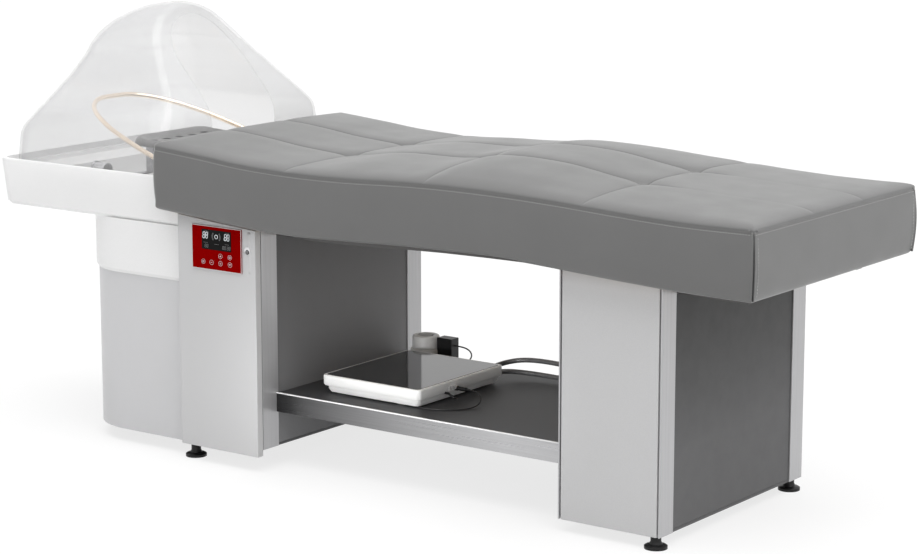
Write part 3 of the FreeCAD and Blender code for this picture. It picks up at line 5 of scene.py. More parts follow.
import bmesh
import bpy
from bpy.props import FloatProperty, FloatVectorProperty, PointerProperty
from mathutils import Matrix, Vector


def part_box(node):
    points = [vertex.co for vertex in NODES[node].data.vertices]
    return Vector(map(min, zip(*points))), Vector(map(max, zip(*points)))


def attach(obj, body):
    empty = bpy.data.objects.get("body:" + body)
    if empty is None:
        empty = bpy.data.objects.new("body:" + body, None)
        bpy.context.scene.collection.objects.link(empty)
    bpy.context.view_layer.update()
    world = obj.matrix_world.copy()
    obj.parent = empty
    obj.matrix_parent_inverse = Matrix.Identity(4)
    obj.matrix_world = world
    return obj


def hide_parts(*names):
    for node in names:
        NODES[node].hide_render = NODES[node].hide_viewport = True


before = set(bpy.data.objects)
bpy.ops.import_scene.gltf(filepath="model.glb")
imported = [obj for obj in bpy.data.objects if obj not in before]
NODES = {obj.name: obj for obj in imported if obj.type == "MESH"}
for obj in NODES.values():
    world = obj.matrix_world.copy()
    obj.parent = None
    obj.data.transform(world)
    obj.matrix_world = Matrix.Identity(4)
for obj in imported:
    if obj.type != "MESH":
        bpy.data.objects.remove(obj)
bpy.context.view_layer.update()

bl_info = {
    "name": "Hair washing bed",
    "version": (1, 0, 0),
    "blender": (4, 5, 0),
    "location": "3D View > Sidebar > Wash Bed",
    "description": "Dresses a hair washing bed: quilted mattress, cabinets, wash basin, hood and air unit",
    "category": "Object",
}


# Small sums

def clamp(value, low=0.0, high=1.0):
    return min(max(value, low), high)


def blend(a, b, share):
    return a + (b - a) * share


def turns(sides):
    """The angles of a circle's corner points."""
    return [math.tau * step / sides for step in range(sides)]


def millimetres(*values):
    return Vector(values) / 1000


# Mesh making

def link_object(name, data):
    piece = bpy.data.objects.new(name, data)
    bpy.context.scene.collection.objects.link(piece)
    return piece


def mesh_piece(name, points, faces, smooth=True):
    """A mesh object from points and faces, smooth shaded unless told otherwise."""
    mesh = bpy.data.meshes.new(name)
    mesh.from_pydata([tuple(point) for point in points], [], faces)
    mesh.validate()
    work = bmesh.new()
    work.from_mesh(mesh)
    bmesh.ops.remove_doubles(work, verts=work.verts, dist=1e-6)
    bmesh.ops.recalc_face_normals(work, faces=work.faces)
    work.to_mesh(mesh)
    work.free()
    for face in mesh.polygons:
        face.use_smooth = smooth
    return link_object(name, mesh)


def rings_mesh(rings, closed_ends=True):
    """Points and faces of a skin over closed rings of equal count."""
    count = len(rings[0])
    points = [point for ring in rings for point in ring]
    faces = []
    for row in range(len(rings) - 1):
        for step in range(count):
            a = row * count + step
            b = row * count + (step + 1) % count
            faces.append((a, b, b + count, a + count))
    if closed_ends:
        faces.append(tuple(reversed(range(count))))
        last = (len(rings) - 1) * count
        faces.append(tuple(last + index for index in range(count)))
    return points, faces


def joined(name, parts, smooth=True):
    """One object from several (points, faces) lists."""
    points, faces = [], []
    for part_points, part_faces in parts:
        shift = len(points)
        points += list(part_points)
        faces += [tuple(index + shift for index in face) for face in part_faces]
    return mesh_piece(name, points, faces, smooth)


def box_part(low, high):
    (x0, y0, z0), (x1, y1, z1) = low, high
    points = [(x, y, z) for z in (z0, z1) for x, y in ((x0, y0), (x1, y0), (x1, y1), (x0, y1))]
    faces = [(3, 2, 1, 0), (4, 5, 6, 7), (0, 1, 5, 4), (1, 2, 6, 5), (2, 3, 7, 6), (3, 0, 4, 7)]
    return points, faces


def turned_part(outline, sides, centre, axis="z"):
    """A round part from (radius, height) pairs about an axis through the centre."""
    rings = []
    for radius, height in outline:
        ring = []
        for turn in turns(sides):
            across, up = max(radius, 1e-5) * math.cos(turn), max(radius, 1e-5) * math.sin(turn)
            local = {"z": (across, up, height), "y": (up, height, across)}[axis]
            ring.append(Vector(local) + Vector(centre))
        rings.append(ring)
    return rings_mesh(rings)


def rounded_ring(x0, x1, half, radius_low, radius_high, z, steps=14):
    """A rounded rectangle seen from above; the radii are those at its low and high X ends."""
    centres = ((x1 - radius_high, half - radius_high), (x0 + radius_low, half - radius_low),
               (x0 + radius_low, radius_low - half), (x1 - radius_high, radius_high - half))
    ring = []
    for quarter, (x, y) in enumerate(centres):
        radius = radius_low if quarter in (1, 2) else radius_high
        for step in range(steps + 1):
            turn = math.pi / 2 * (quarter + step / steps)
            ring.append(Vector((x + radius * math.cos(turn), y + radius * math.sin(turn), z)))
    return ring


def tube_part(path, radius, sides):
    """A round tube along points, its section carried along without twist."""
    rings = []
    normal = None
    for index, point in enumerate(path):
        along = (path[min(index + 1, len(path) - 1)] - path[max(index - 1, 0)]).normalized()
        if normal is None:
            normal = along.orthogonal().normalized()
        normal = (normal - along * normal.dot(along)).normalized()
        side = along.cross(normal)
        rings.append([point + (normal * math.cos(turn) + side * math.sin(turn)) * radius
                      for turn in turns(sides)])
    return rings_mesh(rings)


def round_edges(piece, width, segments=3, angle=40):
    """Rounds an object's sharp edges and keeps its flats flat."""
    bevel = piece.modifiers.new("edges", "BEVEL")
    bevel.width = width
    bevel.segments = segments
    bevel.limit_method = "ANGLE"
    bevel.angle_limit = math.radians(angle)
    bevel.harden_normals = True


def sharpen(piece, angle):
    """Keeps the edges that turn by more than the angle sharp in the shading."""
    piece.data.set_sharp_from_angle(angle=math.radians(angle))


def carve(piece, cutter):
    """Cuts one object out of another and removes the cutter."""
    cut = piece.modifiers.new("cut", "BOOLEAN")
    cut.operation = "DIFFERENCE"
    cut.solver = "EXACT"
    cut.object = cutter
    bpy.context.view_layer.update()
    graph = bpy.context.evaluated_depsgraph_get()
    mesh = bpy.data.meshes.new_from_object(piece.evaluated_get(graph))
    piece.modifiers.clear()
    piece.data = mesh
    bpy.data.objects.remove(cutter)


def settle(piece, body, finish, slot, *nodes):
    """Gives a piece its finish and its body, and hides the CAD nodes it stands for; the slot it is given is
    not used.
    """
    piece.data.materials.clear()
    piece.data.materials.append(finished(finish))
    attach(piece, body)
    if nodes:
        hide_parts(*nodes)


def dress(node, finish, edge=0.0):
    """Gives a CAD node its finish, and softens its edges for the light."""
    piece = NODES[node]
    mesh = piece.data
    mesh.materials.clear()
    mesh.materials.append(finished(finish))
    for face in mesh.polygons:
        face.material_index = 0
        face.use_smooth = True
    if edge:
        custom = mesh.attributes.get("custom_normal")
        if custom:
            mesh.attributes.remove(custom)
        weld = piece.modifiers.new("weld", "WELD")
        weld.merge_threshold = 0.00001
        round_edges(piece, edge, 2, 35)
    return piece


# Finishes

class Surface:
    """A material under construction: one principled shader with noise for its colour, gloss and relief."""

    def __init__(self, name, colour, rough, metal=0.0):
        self.material = bpy.data.materials.new(name)
        self.material.use_nodes = True
        self.nodes = self.material.node_tree.nodes
        self.links = self.material.node_tree.links
        self.shader = self.nodes["Principled BSDF"]
        self.colour = colour
        self.rough = rough
        self.put("Base Color", (*colour, 1))
        self.put("Roughness", rough)
        self.put("Metallic", metal)
        self.place = self.nodes.new("ShaderNodeTexCoord").outputs["Object"]
        self.last_normal = None

    def put(self, socket, value):
        self.shader.inputs[socket].default_value = value

    def drive(self, socket, source):
        self.links.new(source, self.shader.inputs[socket])

    def stretched(self, scale):
        mapping = self.nodes.new("ShaderNodeMapping")
        mapping.inputs["Scale"].default_value = scale
        self.links.new(self.place, mapping.inputs["Vector"])
        return mapping.outputs["Vector"]

    def noise(self, scale, detail, rough, stretch):
        texture = self.nodes.new("ShaderNodeTexNoise")
        for socket, value in (("Scale", scale), ("Detail", detail), ("Roughness", rough)):
            texture.inputs[socket].default_value = value
        self.links.new(self.stretched(stretch), texture.inputs["Vector"])
        return texture.outputs["Fac"]

    def ranged(self, source, *span):
        """A value taken from one range (its first two numbers) to another (its last two)."""
        node = self.nodes.new("ShaderNodeMapRange")
        for socket, value in zip(("From Min", "From Max", "To Min", "To Max"), span):
            node.inputs[socket].default_value = value
        self.links.new(source, node.inputs["Value"])
        return node.outputs["Result"]

    def mixed_colour(self, a, b, factor):
        """A colour mix whose inputs are colours, numbers or other nodes' outputs."""
        mix = self.nodes.new("ShaderNodeMix")
        mix.data_type = "RGBA"
        for socket, value in (("A", a), ("B", b), ("Factor", factor)):
            if isinstance(value, bpy.types.NodeSocket):
                self.links.new(value, mix.inputs[socket])
            else:
                mix.inputs[socket].default_value = value
        self.drive("Base Color", mix.outputs["Result"])
        return mix

    def mottle(self, scale, amount, stretch=(1, 1, 1)):
        """Uneven colour: the base a little darker and a little lighter."""
        dark, light = [(*(clamp(part * share) for part in self.colour), 1)
                       for share in (1 - amount, 1 + amount)]
        self.mixed_colour(dark, light, self.ranged(self.noise(scale, 4, 0.6, stretch), 0.3, 0.7, 0, 1))

    def graded(self, axis, start, end, low, high):
        """Painted light and shade: multiplies the colour by low at one end of an axis and by high at the
        other, in metres.
        """
        split = self.nodes.new("ShaderNodeSeparateXYZ")
        self.links.new(self.place, split.inputs["Vector"])
        share = self.ranged(split.outputs[axis], start, end, low, high)
        before = self.shader.inputs["Base Color"].links[0].from_socket
        self.mixed_colour(before, share, 1.0).blend_type = "MULTIPLY"

    def uneven_gloss(self, scale, amount, stretch=(1, 1, 1)):
        low, high = clamp(self.rough - amount), clamp(self.rough + amount)
        self.drive("Roughness", self.ranged(self.noise(scale, 3, 0.5, stretch), 0.3, 0.7, low, high))

    def relief(self, source, strength, distance):
        """Adds a bump on top of the ones before."""
        bump = self.nodes.new("ShaderNodeBump")
        bump.inputs["Strength"].default_value = strength
        bump.inputs["Distance"].default_value = distance
        self.links.new(source, bump.inputs["Height"])
        if self.last_normal is not None:
            self.links.new(self.last_normal, bump.inputs["Normal"])
        self.last_normal = bump.outputs["Normal"]
        self.drive("Normal", self.last_normal)

    def grain(self, scale, strength, distance, stretch=(1, 1, 1), detail=2, rough=0.55):
        self.relief(self.noise(scale, detail, rough, stretch), strength, distance)

    def pores(self, scale, strength, distance):
        texture = self.nodes.new("ShaderNodeTexVoronoi")
        texture.inputs["Scale"].default_value = scale
        self.links.new(self.stretched((1, 1, 1)), texture.inputs["Vector"])
        self.relief(texture.outputs["Distance"], strength, distance)

    def see_through(self, turning, facing, aside):
        """Clear where it faces the eye and whiter where it turns away."""
        angle = self.nodes.new("ShaderNodeLayerWeight")
        angle.inputs["Blend"].default_value = turning
        self.drive("Alpha", self.ranged(angle.outputs["Facing"], 0.0, 1.0, facing, aside))


def recipe(colour, rough, metal=0.0, specular=0.5, painted_light_factor=1, sockets=(), **steps):
    """A finish: a colour or the name of one in the panel, a factor that brightens that colour as painted
    light, its gloss, and the steps that give it detail and painted shade.
    """
    return colour, rough, metal, specular, painted_light_factor, dict(sockets), steps


ALONG_X, ALONG_Z = (0.02, 1, 1), (1, 1, 0.02)
FINISHES = {
    "grey_vinyl": recipe("vinyl", 0.40, sockets={"Sheen Weight": 0.35, "Sheen Roughness": 0.35},
                         mottle=(5, 0.035), uneven_gloss=(14, 0.04), pores=(560, 0.14, 0.0005),
                         grain=(1500, 0.10, 0.0003)),
    "pale_thread": recipe((0.42, 0.42, 0.41), 0.6, mottle=(300, 0.12), grain=(2400, 0.4, 0.0003)),
    # Painted shadow: near black, for the thin tubes that stand in for the shade in the foot corners' seams.
    "dark_seam": recipe((0.02, 0.02, 0.02), 0.8, mottle=(200, 0.2), grain=(900, 0.1, 0.0002)),
    # Painted shadow: the pale panels go darker over their top 55 mm, under the mattress's overhang.
    "silver_lacquer": recipe("panel", 0.42, 0.1, 0.4, mottle=(900, 0.05),
                             graded=("Z", 0.600, 0.545, 0.68, 1.0), uneven_gloss=(1000, 0.05),
                             grain=(1300, 0.05, 0.0002)),
    # Painted shade: the dark panels go much darker towards their tops, under the mattress, and lighter
    # towards the floor.
    "dark_lacquer": recipe("dark_panel", 0.42, specular=0.3, mottle=(700, 0.10),
                           graded=("Z", 0.56, 0.20, 0.15, 1.25), uneven_gloss=(30, 0.05),
                           grain=(1100, 0.04, 0.0002)),
    # Painted light: the dark panel colour made 2.5 times brighter for the inner panels, with a weaker painted
    # shade towards their tops.
    "inner_dark_lacquer": recipe("dark_panel", 0.42, specular=0.3, painted_light_factor=2.5, mottle=(700, 0.10),
                                 graded=("Z", 0.56, 0.16, 0.45, 1.1), uneven_gloss=(30, 0.05),
                                 grain=(1100, 0.04, 0.0002)),
    "dark_shelf_board": recipe((0.045, 0.045, 0.047), 0.5, specular=0.2, mottle=(900, 0.10),
                               uneven_gloss=(700, 0.04), grain=(1500, 0.03, 0.0001)),
    "brushed_corner_trim": recipe((0.49, 0.49, 0.50), 0.38, 0.5, mottle=(160, 0.05, ALONG_Z),
                                  uneven_gloss=(220, 0.06, ALONG_Z),
                                  grain=(900, 0.08, 0.0002, (1, 1, 0.015), 2, 0.5)),
    "bright_edge_trim": recipe((0.86, 0.86, 0.86), 0.3, 0.2, mottle=(300, 0.05, ALONG_X),
                               uneven_gloss=(200, 0.05, ALONG_X)),
    # Painted shade and reflection: the rail goes from dark towards the head cabinet to bright towards the
    # foot cabinet.
    "brushed_shelf_rail": recipe((0.52, 0.52, 0.53), 0.32, 0.85, mottle=(220, 0.07, ALONG_X),
                                 uneven_gloss=(260, 0.06, ALONG_X), graded=("X", -0.24, 0.42, 0.05, 0.90),
                                 grain=(1200, 0.12, 0.0002, (0.012, 1, 1), 2, 0.5)),
    "white_moulding": recipe("moulding", 0.28, mottle=(1400, 0.02), uneven_gloss=(1100, 0.02),
                             grain=(1500, 0.02, 0.0001)),
    "white_case": recipe((0.90, 0.90, 0.89), 0.36, mottle=(1400, 0.02), uneven_gloss=(1100, 0.03),
                         pores=(1200, 0.03, 0.0001)),
    "pale_skirt": recipe((0.60, 0.60, 0.61), 0.34, 0.1, mottle=(4, 0.02), uneven_gloss=(12, 0.05),
                         grain=(420, 0.04, 0.0003)),
    # Painted shade: near black, for the linings inside the head rest's holes.
    "dark_hole_rubber": recipe((0.03, 0.03, 0.03), 0.8, specular=0.1, mottle=(200, 0.1),
                               grain=(900, 0.1, 0.0002)),
    "grey_rubber": recipe((0.17, 0.17, 0.168), 0.45, mottle=(60, 0.05), pores=(700, 0.16, 0.0004)),
    "black_plastic": recipe((0.008, 0.008, 0.0085), 0.42, specular=0.3, mottle=(200, 0.2),
                            grain=(900, 0.1, 0.0003)),
    "black_cable_sleeve": recipe((0.012, 0.012, 0.013), 0.5, mottle=(400, 0.2), grain=(1400, 0.12, 0.0003)),
    "grey_air_hose": recipe((0.16, 0.16, 0.165), 0.25, mottle=(80, 0.15), grain=(500, 0.08, 0.0003)),
    "pale_grey_plastic": recipe((0.62, 0.62, 0.615), 0.45, mottle=(120, 0.05), grain=(900, 0.08, 0.0003)),
    "polished_metal": recipe((0.70, 0.70, 0.71), 0.12, 1.0, mottle=(90, 0.03), uneven_gloss=(120, 0.04)),
    "brushed_steel": recipe((0.42, 0.42, 0.43), 0.34, 1.0, mottle=(140, 0.05, (1, 0.05, 1)),
                            uneven_gloss=(220, 0.07, (1, 0.05, 1))),
    "machined_brass": recipe((0.64, 0.46, 0.20), 0.25, 1.0, mottle=(200, 0.06), uneven_gloss=(160, 0.06)),
    "grey_frame_paint": recipe((0.08, 0.08, 0.082), 0.45, mottle=(60, 0.06), grain=(500, 0.08, 0.0003)),
    "bare_plywood": recipe((0.48, 0.34, 0.20), 0.6, mottle=(18, 0.22, (0.15, 1, 1)),
                           grain=(240, 0.2, 0.0005, (0.08, 1, 1), 4, 0.6)),
    "red_control_film": recipe("control", 0.6, specular=0.0, mottle=(40, 0.06), grain=(800, 0.04, 0.0002)),
    "black_display_film": recipe((0.003, 0.003, 0.003), 0.25, specular=0.1, mottle=(60, 0.3),
                                 uneven_gloss=(40, 0.03)),
    "white_print": recipe((0.66, 0.66, 0.66), 0.5, mottle=(500, 0.08), grain=(1500, 0.1, 0.0001)),
    "lit_digits": recipe((0.75, 0.78, 0.80), 0.4, mottle=(300, 0.1),
                         sockets={"Emission Color": (0.8, 0.86, 0.9, 1), "Emission Strength": 0.25}),
    "dim_signs": recipe((0.17, 0.17, 0.17), 0.5, mottle=(300, 0.15)),
    "dark_cover_glass": recipe((0.022, 0.022, 0.023), 0.08, specular=0.45, mottle=(20, 0.2),
                               uneven_gloss=(30, 0.02)),
    "rose_gold_tube": recipe((0.99, 0.83, 0.67), 0.16, 0.85, mottle=(60, 0.03), uneven_gloss=(180, 0.04)),
    "clear_hood_plastic": recipe("hood", 0.08, mottle=(4, 0.01), see_through=(0.35, 0.10, 0.42)),
}


@cache
def finished(name):
    """The material of a finish, made the first time it is asked for."""
    colour, rough, metal, specular, painted_light_factor, sockets, steps = FINISHES[name]
    # A painted light factor above 1 brightens the panel colour for a part that stands in more light.
    if isinstance(colour, str):
        colour = tuple(painted_light_factor * part for part in getattr(bpy.context.scene.wash_bed_colours, colour))
    surface = Surface(name, colour, rough, metal)
    surface.put("Specular IOR Level", specular)
    for socket, value in sockets.items():
        surface.put(socket, value)
    for step, values in steps.items():
        getattr(surface, step)(*values)
    return surface.material


# Mattress

# share of the mattress's length; underside and top seam over the wave; crown
PROFILE_SHARES = (
    (0.000, 1.00, 1.02, 0.26),
    (0.094, 0.69, 0.68, 0.20),
    (0.169, 0.43, 0.38, 0.14),
    (0.260, 0.32, 0.23, 0.16),
    (0.350, 0.44, 0.26, 0.52),
    (0.453, 0.63, 0.46, 0.46),
    (0.520, 0.69, 0.53, 0.76),
    (0.618, 0.73, 0.50, 0.70),
    (0.713, 0.46, 0.35, 0.36),
    (0.805, 0.23, 0.13, 0.28),
    (0.894, 0.07, -0.02, 0.26),
    (1.000, 0.00, 0.00, 0.10),
)
CROSS_SEAM_SHARES = (0.250, 0.492, 0.746)
UNDERSIDE, SEAM, CROWN = 1, 2, 3
WAVE = 0.035
THICKNESS = 0.144
CROWN_HEIGHT = 0.045
HALF_WIDTH = 0.350
LONG_SEAM = 0.106
BOARD_INSET = 0.023
BOARD_ROOM = 0.0126
FOLD = 0.0045
# how far from an edge or a seam the top takes to reach its full height there
CROWN_RUN = 0.11
EDGE_RUN = 0.042
LONG_RUN = 0.036
JUNCTION_RUN = 0.030
CROSS_RUN = 0.050
HEAD_CORNER = 0.017
FOOT_CORNER = 0.004


def along_profile(share, column):
    """A smooth curve through one column of the mattress's shares."""
    rows = PROFILE_SHARES
    index = 0
    while index < len(rows) - 2 and share > rows[index + 1][0]:
        index += 1
    before, low, high = rows[max(index - 1, 0)], rows[index], rows[index + 1]
    after = rows[min(index + 2, len(rows) - 1)]
    span = high[0] - low[0]
    part = (share - low[0]) / span
    slope_low = (high[column] - before[column]) / (high[0] - before[0]) * span
    slope_high = (after[column] - low[column]) / (after[0] - low[0]) * span
    square, cube = part ** 2, part ** 3
    return ((2 * cube - 3 * square + 1) * low[column] + (cube - 2 * square + part) * slope_low
            + (3 * square - 2 * cube) * high[column] + (cube - square) * slope_high)


def quarter_roll(distance, width):
    """0 at a seam, rising as a quarter circle to 1 one width away."""
    return math.sqrt(max(0.0, 1 - (1 - clamp(distance / width)) ** 2))


def gathered(low, high, count, pull=0.88):
    """Places between two seams, close together near both and wide apart between them."""
    places = []
    for step in range(count):
        part = step / count
        places.append(low + (high - low) * (part - pull * math.sin(2 * math.pi * part) / (2 * math.pi)))
    return places


class Quilt:
    """The mattress's outer form, worked out from its box and its seams."""

    def __init__(self, sizes):
        low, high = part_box("mattress")
        self.head, self.foot, self.rest = low.x, high.x, low.z
        self.length = high.x - low.x
        self.sizes = sizes
        self.seams = [self.head + share * self.length for share in CROSS_SEAM_SHARES]
        ripple = random.Random(5)
        self.waves = [(ripple.uniform(9, 34), ripple.uniform(9, 34), ripple.uniform(0, 6.28))
                      for _ in range(10)]

    def share(self, x):
        return clamp((x - self.head) / self.length)

    def underside(self, x):
        return self.rest + WAVE * along_profile(self.share(x), UNDERSIDE)

    def seam(self, x):
        return self.rest + THICKNESS + WAVE * along_profile(self.share(x), SEAM)

    def wrinkle(self, x, y):
        """Faint uneven waves between -1 and 1."""
        total = 0
        for first, second, phase in self.waves:
            total += math.sin(first * x + second * y + phase) * math.sin(second * x - first * y + phase * 2)
        return total / len(self.waves)

    def top(self, x, y):
        """Height of the quilted top at a place inside the outline."""
        sizes = self.sizes
        across = abs(y) / HALF_WIDTH
        dx = min(abs(x - seam) for seam in self.seams)
        dy = abs(abs(y) - LONG_SEAM)
        edge = min(x - self.head, self.foot - x, HALF_WIDTH - abs(y))
        near_cross, near_long = math.exp(-dx / 0.055), math.exp(-dy / 0.045)
        crown = CROWN_HEIGHT * along_profile(self.share(x), CROWN) * (1 - 0.85 * across ** 2.6)
        height = self.seam(x) + crown * quarter_roll(edge, CROWN_RUN)
        height += sizes.edge_roll * quarter_roll(edge, EDGE_RUN)
        # The seams along the bed fade out in the foot end's plain field and come back at its edge.
        plain = 1 - 0.94 * clamp((x - self.seams[-1]) / 0.11) + 0.5 * clamp(1 - (self.foot - x) / 0.05)
        long_depth = (sizes.long_seam_depth + sizes.junction_depth * near_cross) * plain
        long_width = LONG_RUN + JUNCTION_RUN * near_cross
        long_part = (1 - quarter_roll(dy, long_width)) * long_depth * quarter_roll(edge, 0.05)
        cross_depth = sizes.cross_seam_depth * (0.08 + 0.92 * quarter_roll(edge, 0.06))
        cross_part = (1 - quarter_roll(dx, CROSS_RUN)) * cross_depth * (0.32 + 0.52 * near_long)
        height -= math.hypot(long_part, cross_part) * 0.35 + (long_part + cross_part) * 0.65
        calm = clamp(min(dx, dy, edge) / 0.03)
        return height + 0.0009 * calm * self.wrinkle(x, y)


def rounded_place(x, y, quilt):
    """Draws the square corners of the outline in to its corner radii."""
    at_head = x < (quilt.head + quilt.foot) / 2
    radius, end, inward = (HEAD_CORNER, quilt.head, 1) if at_head else (FOOT_CORNER, quilt.foot, -1)
    a = radius - (x - end) * inward
    b = radius - (HALF_WIDTH - abs(y))
    if a <= 0 or b <= 0:
        return x, y
    scale = max(a, b) / math.hypot(a, b)
    side = 1 if y > 0 else -1
    return end + inward * (radius - a * scale), side * (HALF_WIDTH - radius + b * scale)


# depth under the top edge; how far the side stands out there
SIDE_PROFILE = (
    (0.0008, -0.0003),
    (0.0018, -0.0006),
    (0.0030, -0.0007),
    (0.0042, -0.0005),
    (0.0054, -0.0007),
    (0.0062, -0.0012),
    (0.0070, -0.0007),
    (0.0088, -0.0001),
    (0.0130, 0.0006),
    (0.0200, 0.0018),
    (0.0300, 0.0028),
)
# share of the side from there to the underside; how far it stands out
LOWER_PROFILE = (
    (0.18, 0.0034),
    (0.36, 0.0036),
    (0.54, 0.0030),
    (0.70, 0.0016),
    (0.82, -0.0002),
    (0.90, -0.0024),
    (0.945, -0.0046),
    (0.975, -0.0072),
    (0.993, -0.0108),
    (1.00, -0.0150),
)


def loop_of(columns, rows):
    """The outer loop of a grid of points, counter-clockwise from its first corner."""
    last_column, last_row = columns - 1, rows - 1
    loop = [(i, 0) for i in range(last_column)]
    loop += [(last_column, j) for j in range(last_row)]
    loop += [(i, last_row) for i in range(last_column, 0, -1)]
    loop += [(0, j) for j in range(last_row, 0, -1)]
    return loop


def pushed(place, normal, out, quilt):
    """A place on the outline moved out along its normal, or drawn in square to the bed."""
    x, y = place
    if out >= 0:
        return x + normal.x * out, y + normal.y * out
    return clamp(x, quilt.head - out, quilt.foot + out), clamp(y, -HALF_WIDTH - out, HALF_WIDTH + out)


def outline_normals(places):
    """Outward directions, seen from above, at each point of a closed loop."""
    count = len(places)
    normals = []
    for index in range(count):
        x0, y0 = places[index - 1]
        x1, y1 = places[(index + 1) % count]
        along = Vector((x1 - x0, y1 - y0, 0)).normalized()
        normals.append(Vector((along.y, -along.x, 0)))
    return normals


def mattress_grid(quilt, cells_along, cells_across):
    knots_x = [quilt.head] + quilt.seams + [quilt.foot]
    knots_y = [-HALF_WIDTH, -LONG_SEAM, LONG_SEAM, HALF_WIDTH]
    xs, ys = [], []
    for low, high in zip(knots_x, knots_x[1:]):
        xs += gathered(low, high, cells_along)
    for low, high in zip(knots_y, knots_y[1:]):
        ys += gathered(low, high, cells_across)
    return xs + [quilt.foot], ys + [HALF_WIDTH]


def make_quilt_mesh(quilt, cells_along=54, cells_across=34):
    """The whole cover as one closed skin: quilted top, piped sides and an underside round the board."""
    xs, ys = mattress_grid(quilt, cells_along, cells_across)
    columns, rows = len(xs), len(ys)
    points, faces = [], []
    for x in xs:
        for y in ys:
            px, py = rounded_place(x, y, quilt)
            points.append(Vector((px, py, quilt.top(x, y) + FOLD)))
    for i in range(columns - 1):
        for j in range(rows - 1):
            faces.append((i * rows + j, (i + 1) * rows + j, (i + 1) * rows + j + 1, i * rows + j + 1))
    loop = loop_of(columns, rows)
    ring = [i * rows + j for i, j in loop]
    count = len(ring)
    places = [(points[index].x, points[index].y) for index in ring]
    normals = outline_normals(places)
    deepest = SIDE_PROFILE[-1][0]
    levels = []
    for depth, out in SIDE_PROFILE:
        levels.append([(out, quilt.seam(x) + FOLD - depth) for x, y in places])
    for share, out in LOWER_PROFILE:
        levels.append([(out, blend(quilt.seam(x) + FOLD - deepest, quilt.underside(x), share))
                       for x, y in places])
    for rise in (0, BOARD_ROOM):
        levels.append([(-BOARD_INSET, quilt.underside(x) + rise) for x, y in places])
    for level in levels:
        start = len(points)
        for place, normal, (out, z) in zip(places, normals, level):
            points.append(Vector((*pushed(place, normal, out, quilt), z)))
        new_ring = list(range(start, start + count))
        for step in range(count):
            following = (step + 1) % count
            faces.append((ring[step], new_ring[step], new_ring[following], ring[following]))
        ring = new_ring
    across = rows - 1
    near = ring[:columns]
    far = ring[columns - 1 + across:2 * (columns - 1) + across + 1]
    far.reverse()
    head_side = [ring[0]] + [ring[-step] for step in range(1, across + 1)]
    foot_side = ring[columns - 1:columns + across]
    for i in range(1, columns - 2):
        faces.append((near[i], far[i], far[i + 1], near[i + 1]))
    faces.append(tuple([near[1]] + head_side + [far[1]]))
    faces.append(tuple([far[-2]] + list(reversed(foot_side)) + [near[-2]]))
    return points, faces, places, normals


def stitch_part(centre, along, out, length, width):
    """One stitch: a small closed capsule lying along the seam."""
    rings = []
    up = out.cross(along).normalized()
    for share, swell in ((-0.5, 0.35), (-0.3, 0.9), (0.0, 1.0), (0.3, 0.9), (0.5, 0.35)):
        middle = centre + along * (length * share)
        rings.append([middle + (out * math.cos(turn) + up * math.sin(turn)) * (width * swell)
                      for turn in turns(6)])
    return rings_mesh(rings)


def walked(places, normals, pitch):
    """Steps of one pitch along a closed loop, each with its outward direction."""
    travelled, wanted = 0.0, 0.0
    count = len(places)
    for index in range(count):
        start, stop = Vector(places[index]), Vector(places[(index + 1) % count])
        span = (stop - start).length
        while wanted < travelled + span:
            share = (wanted - travelled) / max(span, 1e-9)
            flat = start.lerp(stop, share)
            out = normals[index].lerp(normals[(index + 1) % count], share).normalized()
            yield flat, (stop - start).normalized(), out
            wanted += pitch
        travelled += span


# radius of a stitch; how far under the top edge, or in from the corner, the stitches run
STITCH_RADIUS = 0.00062
STITCH_DEPTH = 0.0092
STITCH_FROM_CORNER = 0.013


def make_stitches(quilt, places, normals, sizes):
    """The stitches round the top edge and beside the two corners of the foot end."""
    parts = []
    length, width = sizes.stitch_pitch * 0.72, STITCH_RADIUS
    for flat, along, out in walked(places, normals, sizes.stitch_pitch):
        slope = (quilt.seam(flat.x + 0.002) - quilt.seam(flat.x - 0.002)) / 0.004
        direction = Vector((along.x, along.y, slope * along.x)).normalized()
        centre = Vector((flat.x, flat.y, quilt.seam(flat.x) + FOLD - STITCH_DEPTH)) - out * 0.0003
        parts.append(stitch_part(centre, direction, out, length, width))
    low, high = quilt.underside(quilt.foot) + 0.012, quilt.seam(quilt.foot) - 0.010
    steps = int((high - low) / sizes.stitch_pitch)
    for side in (-1, 1):
        for step in range(steps):
            z = blend(low, high, (step + 0.5) / steps)
            bulge = 0.0046 * math.sin(math.pi * clamp((z - low + 0.02) / (high - low + 0.04)))
            centre = Vector((quilt.foot + bulge - 0.0006, side * (HALF_WIDTH - STITCH_FROM_CORNER), z))
            parts.append(stitch_part(centre, Vector((0, 0, 1)), Vector((1, 0, 0)), length, width))
    return joined("edge_stitches", parts)


CORNER_BULGE = 0.0042
WELT_RADIUS = 0.0021
WELT_SPACING = 0.0036
GAP_RADIUS = 0.0011
TOP_FOLD_RADIUS = 0.0019


def corner_path(quilt, side, dx, dy, low, high):
    """A path up a foot corner, moved in by dx and dy, that stands out a little at half height."""
    path = []
    for step in range(25):
        out = CORNER_BULGE * math.sin(math.pi * step / 24) - 0.0016
        path.append(Vector((quilt.foot + dx + out, side * (HALF_WIDTH + dy + out),
                            blend(low, high, step / 24))))
    return path


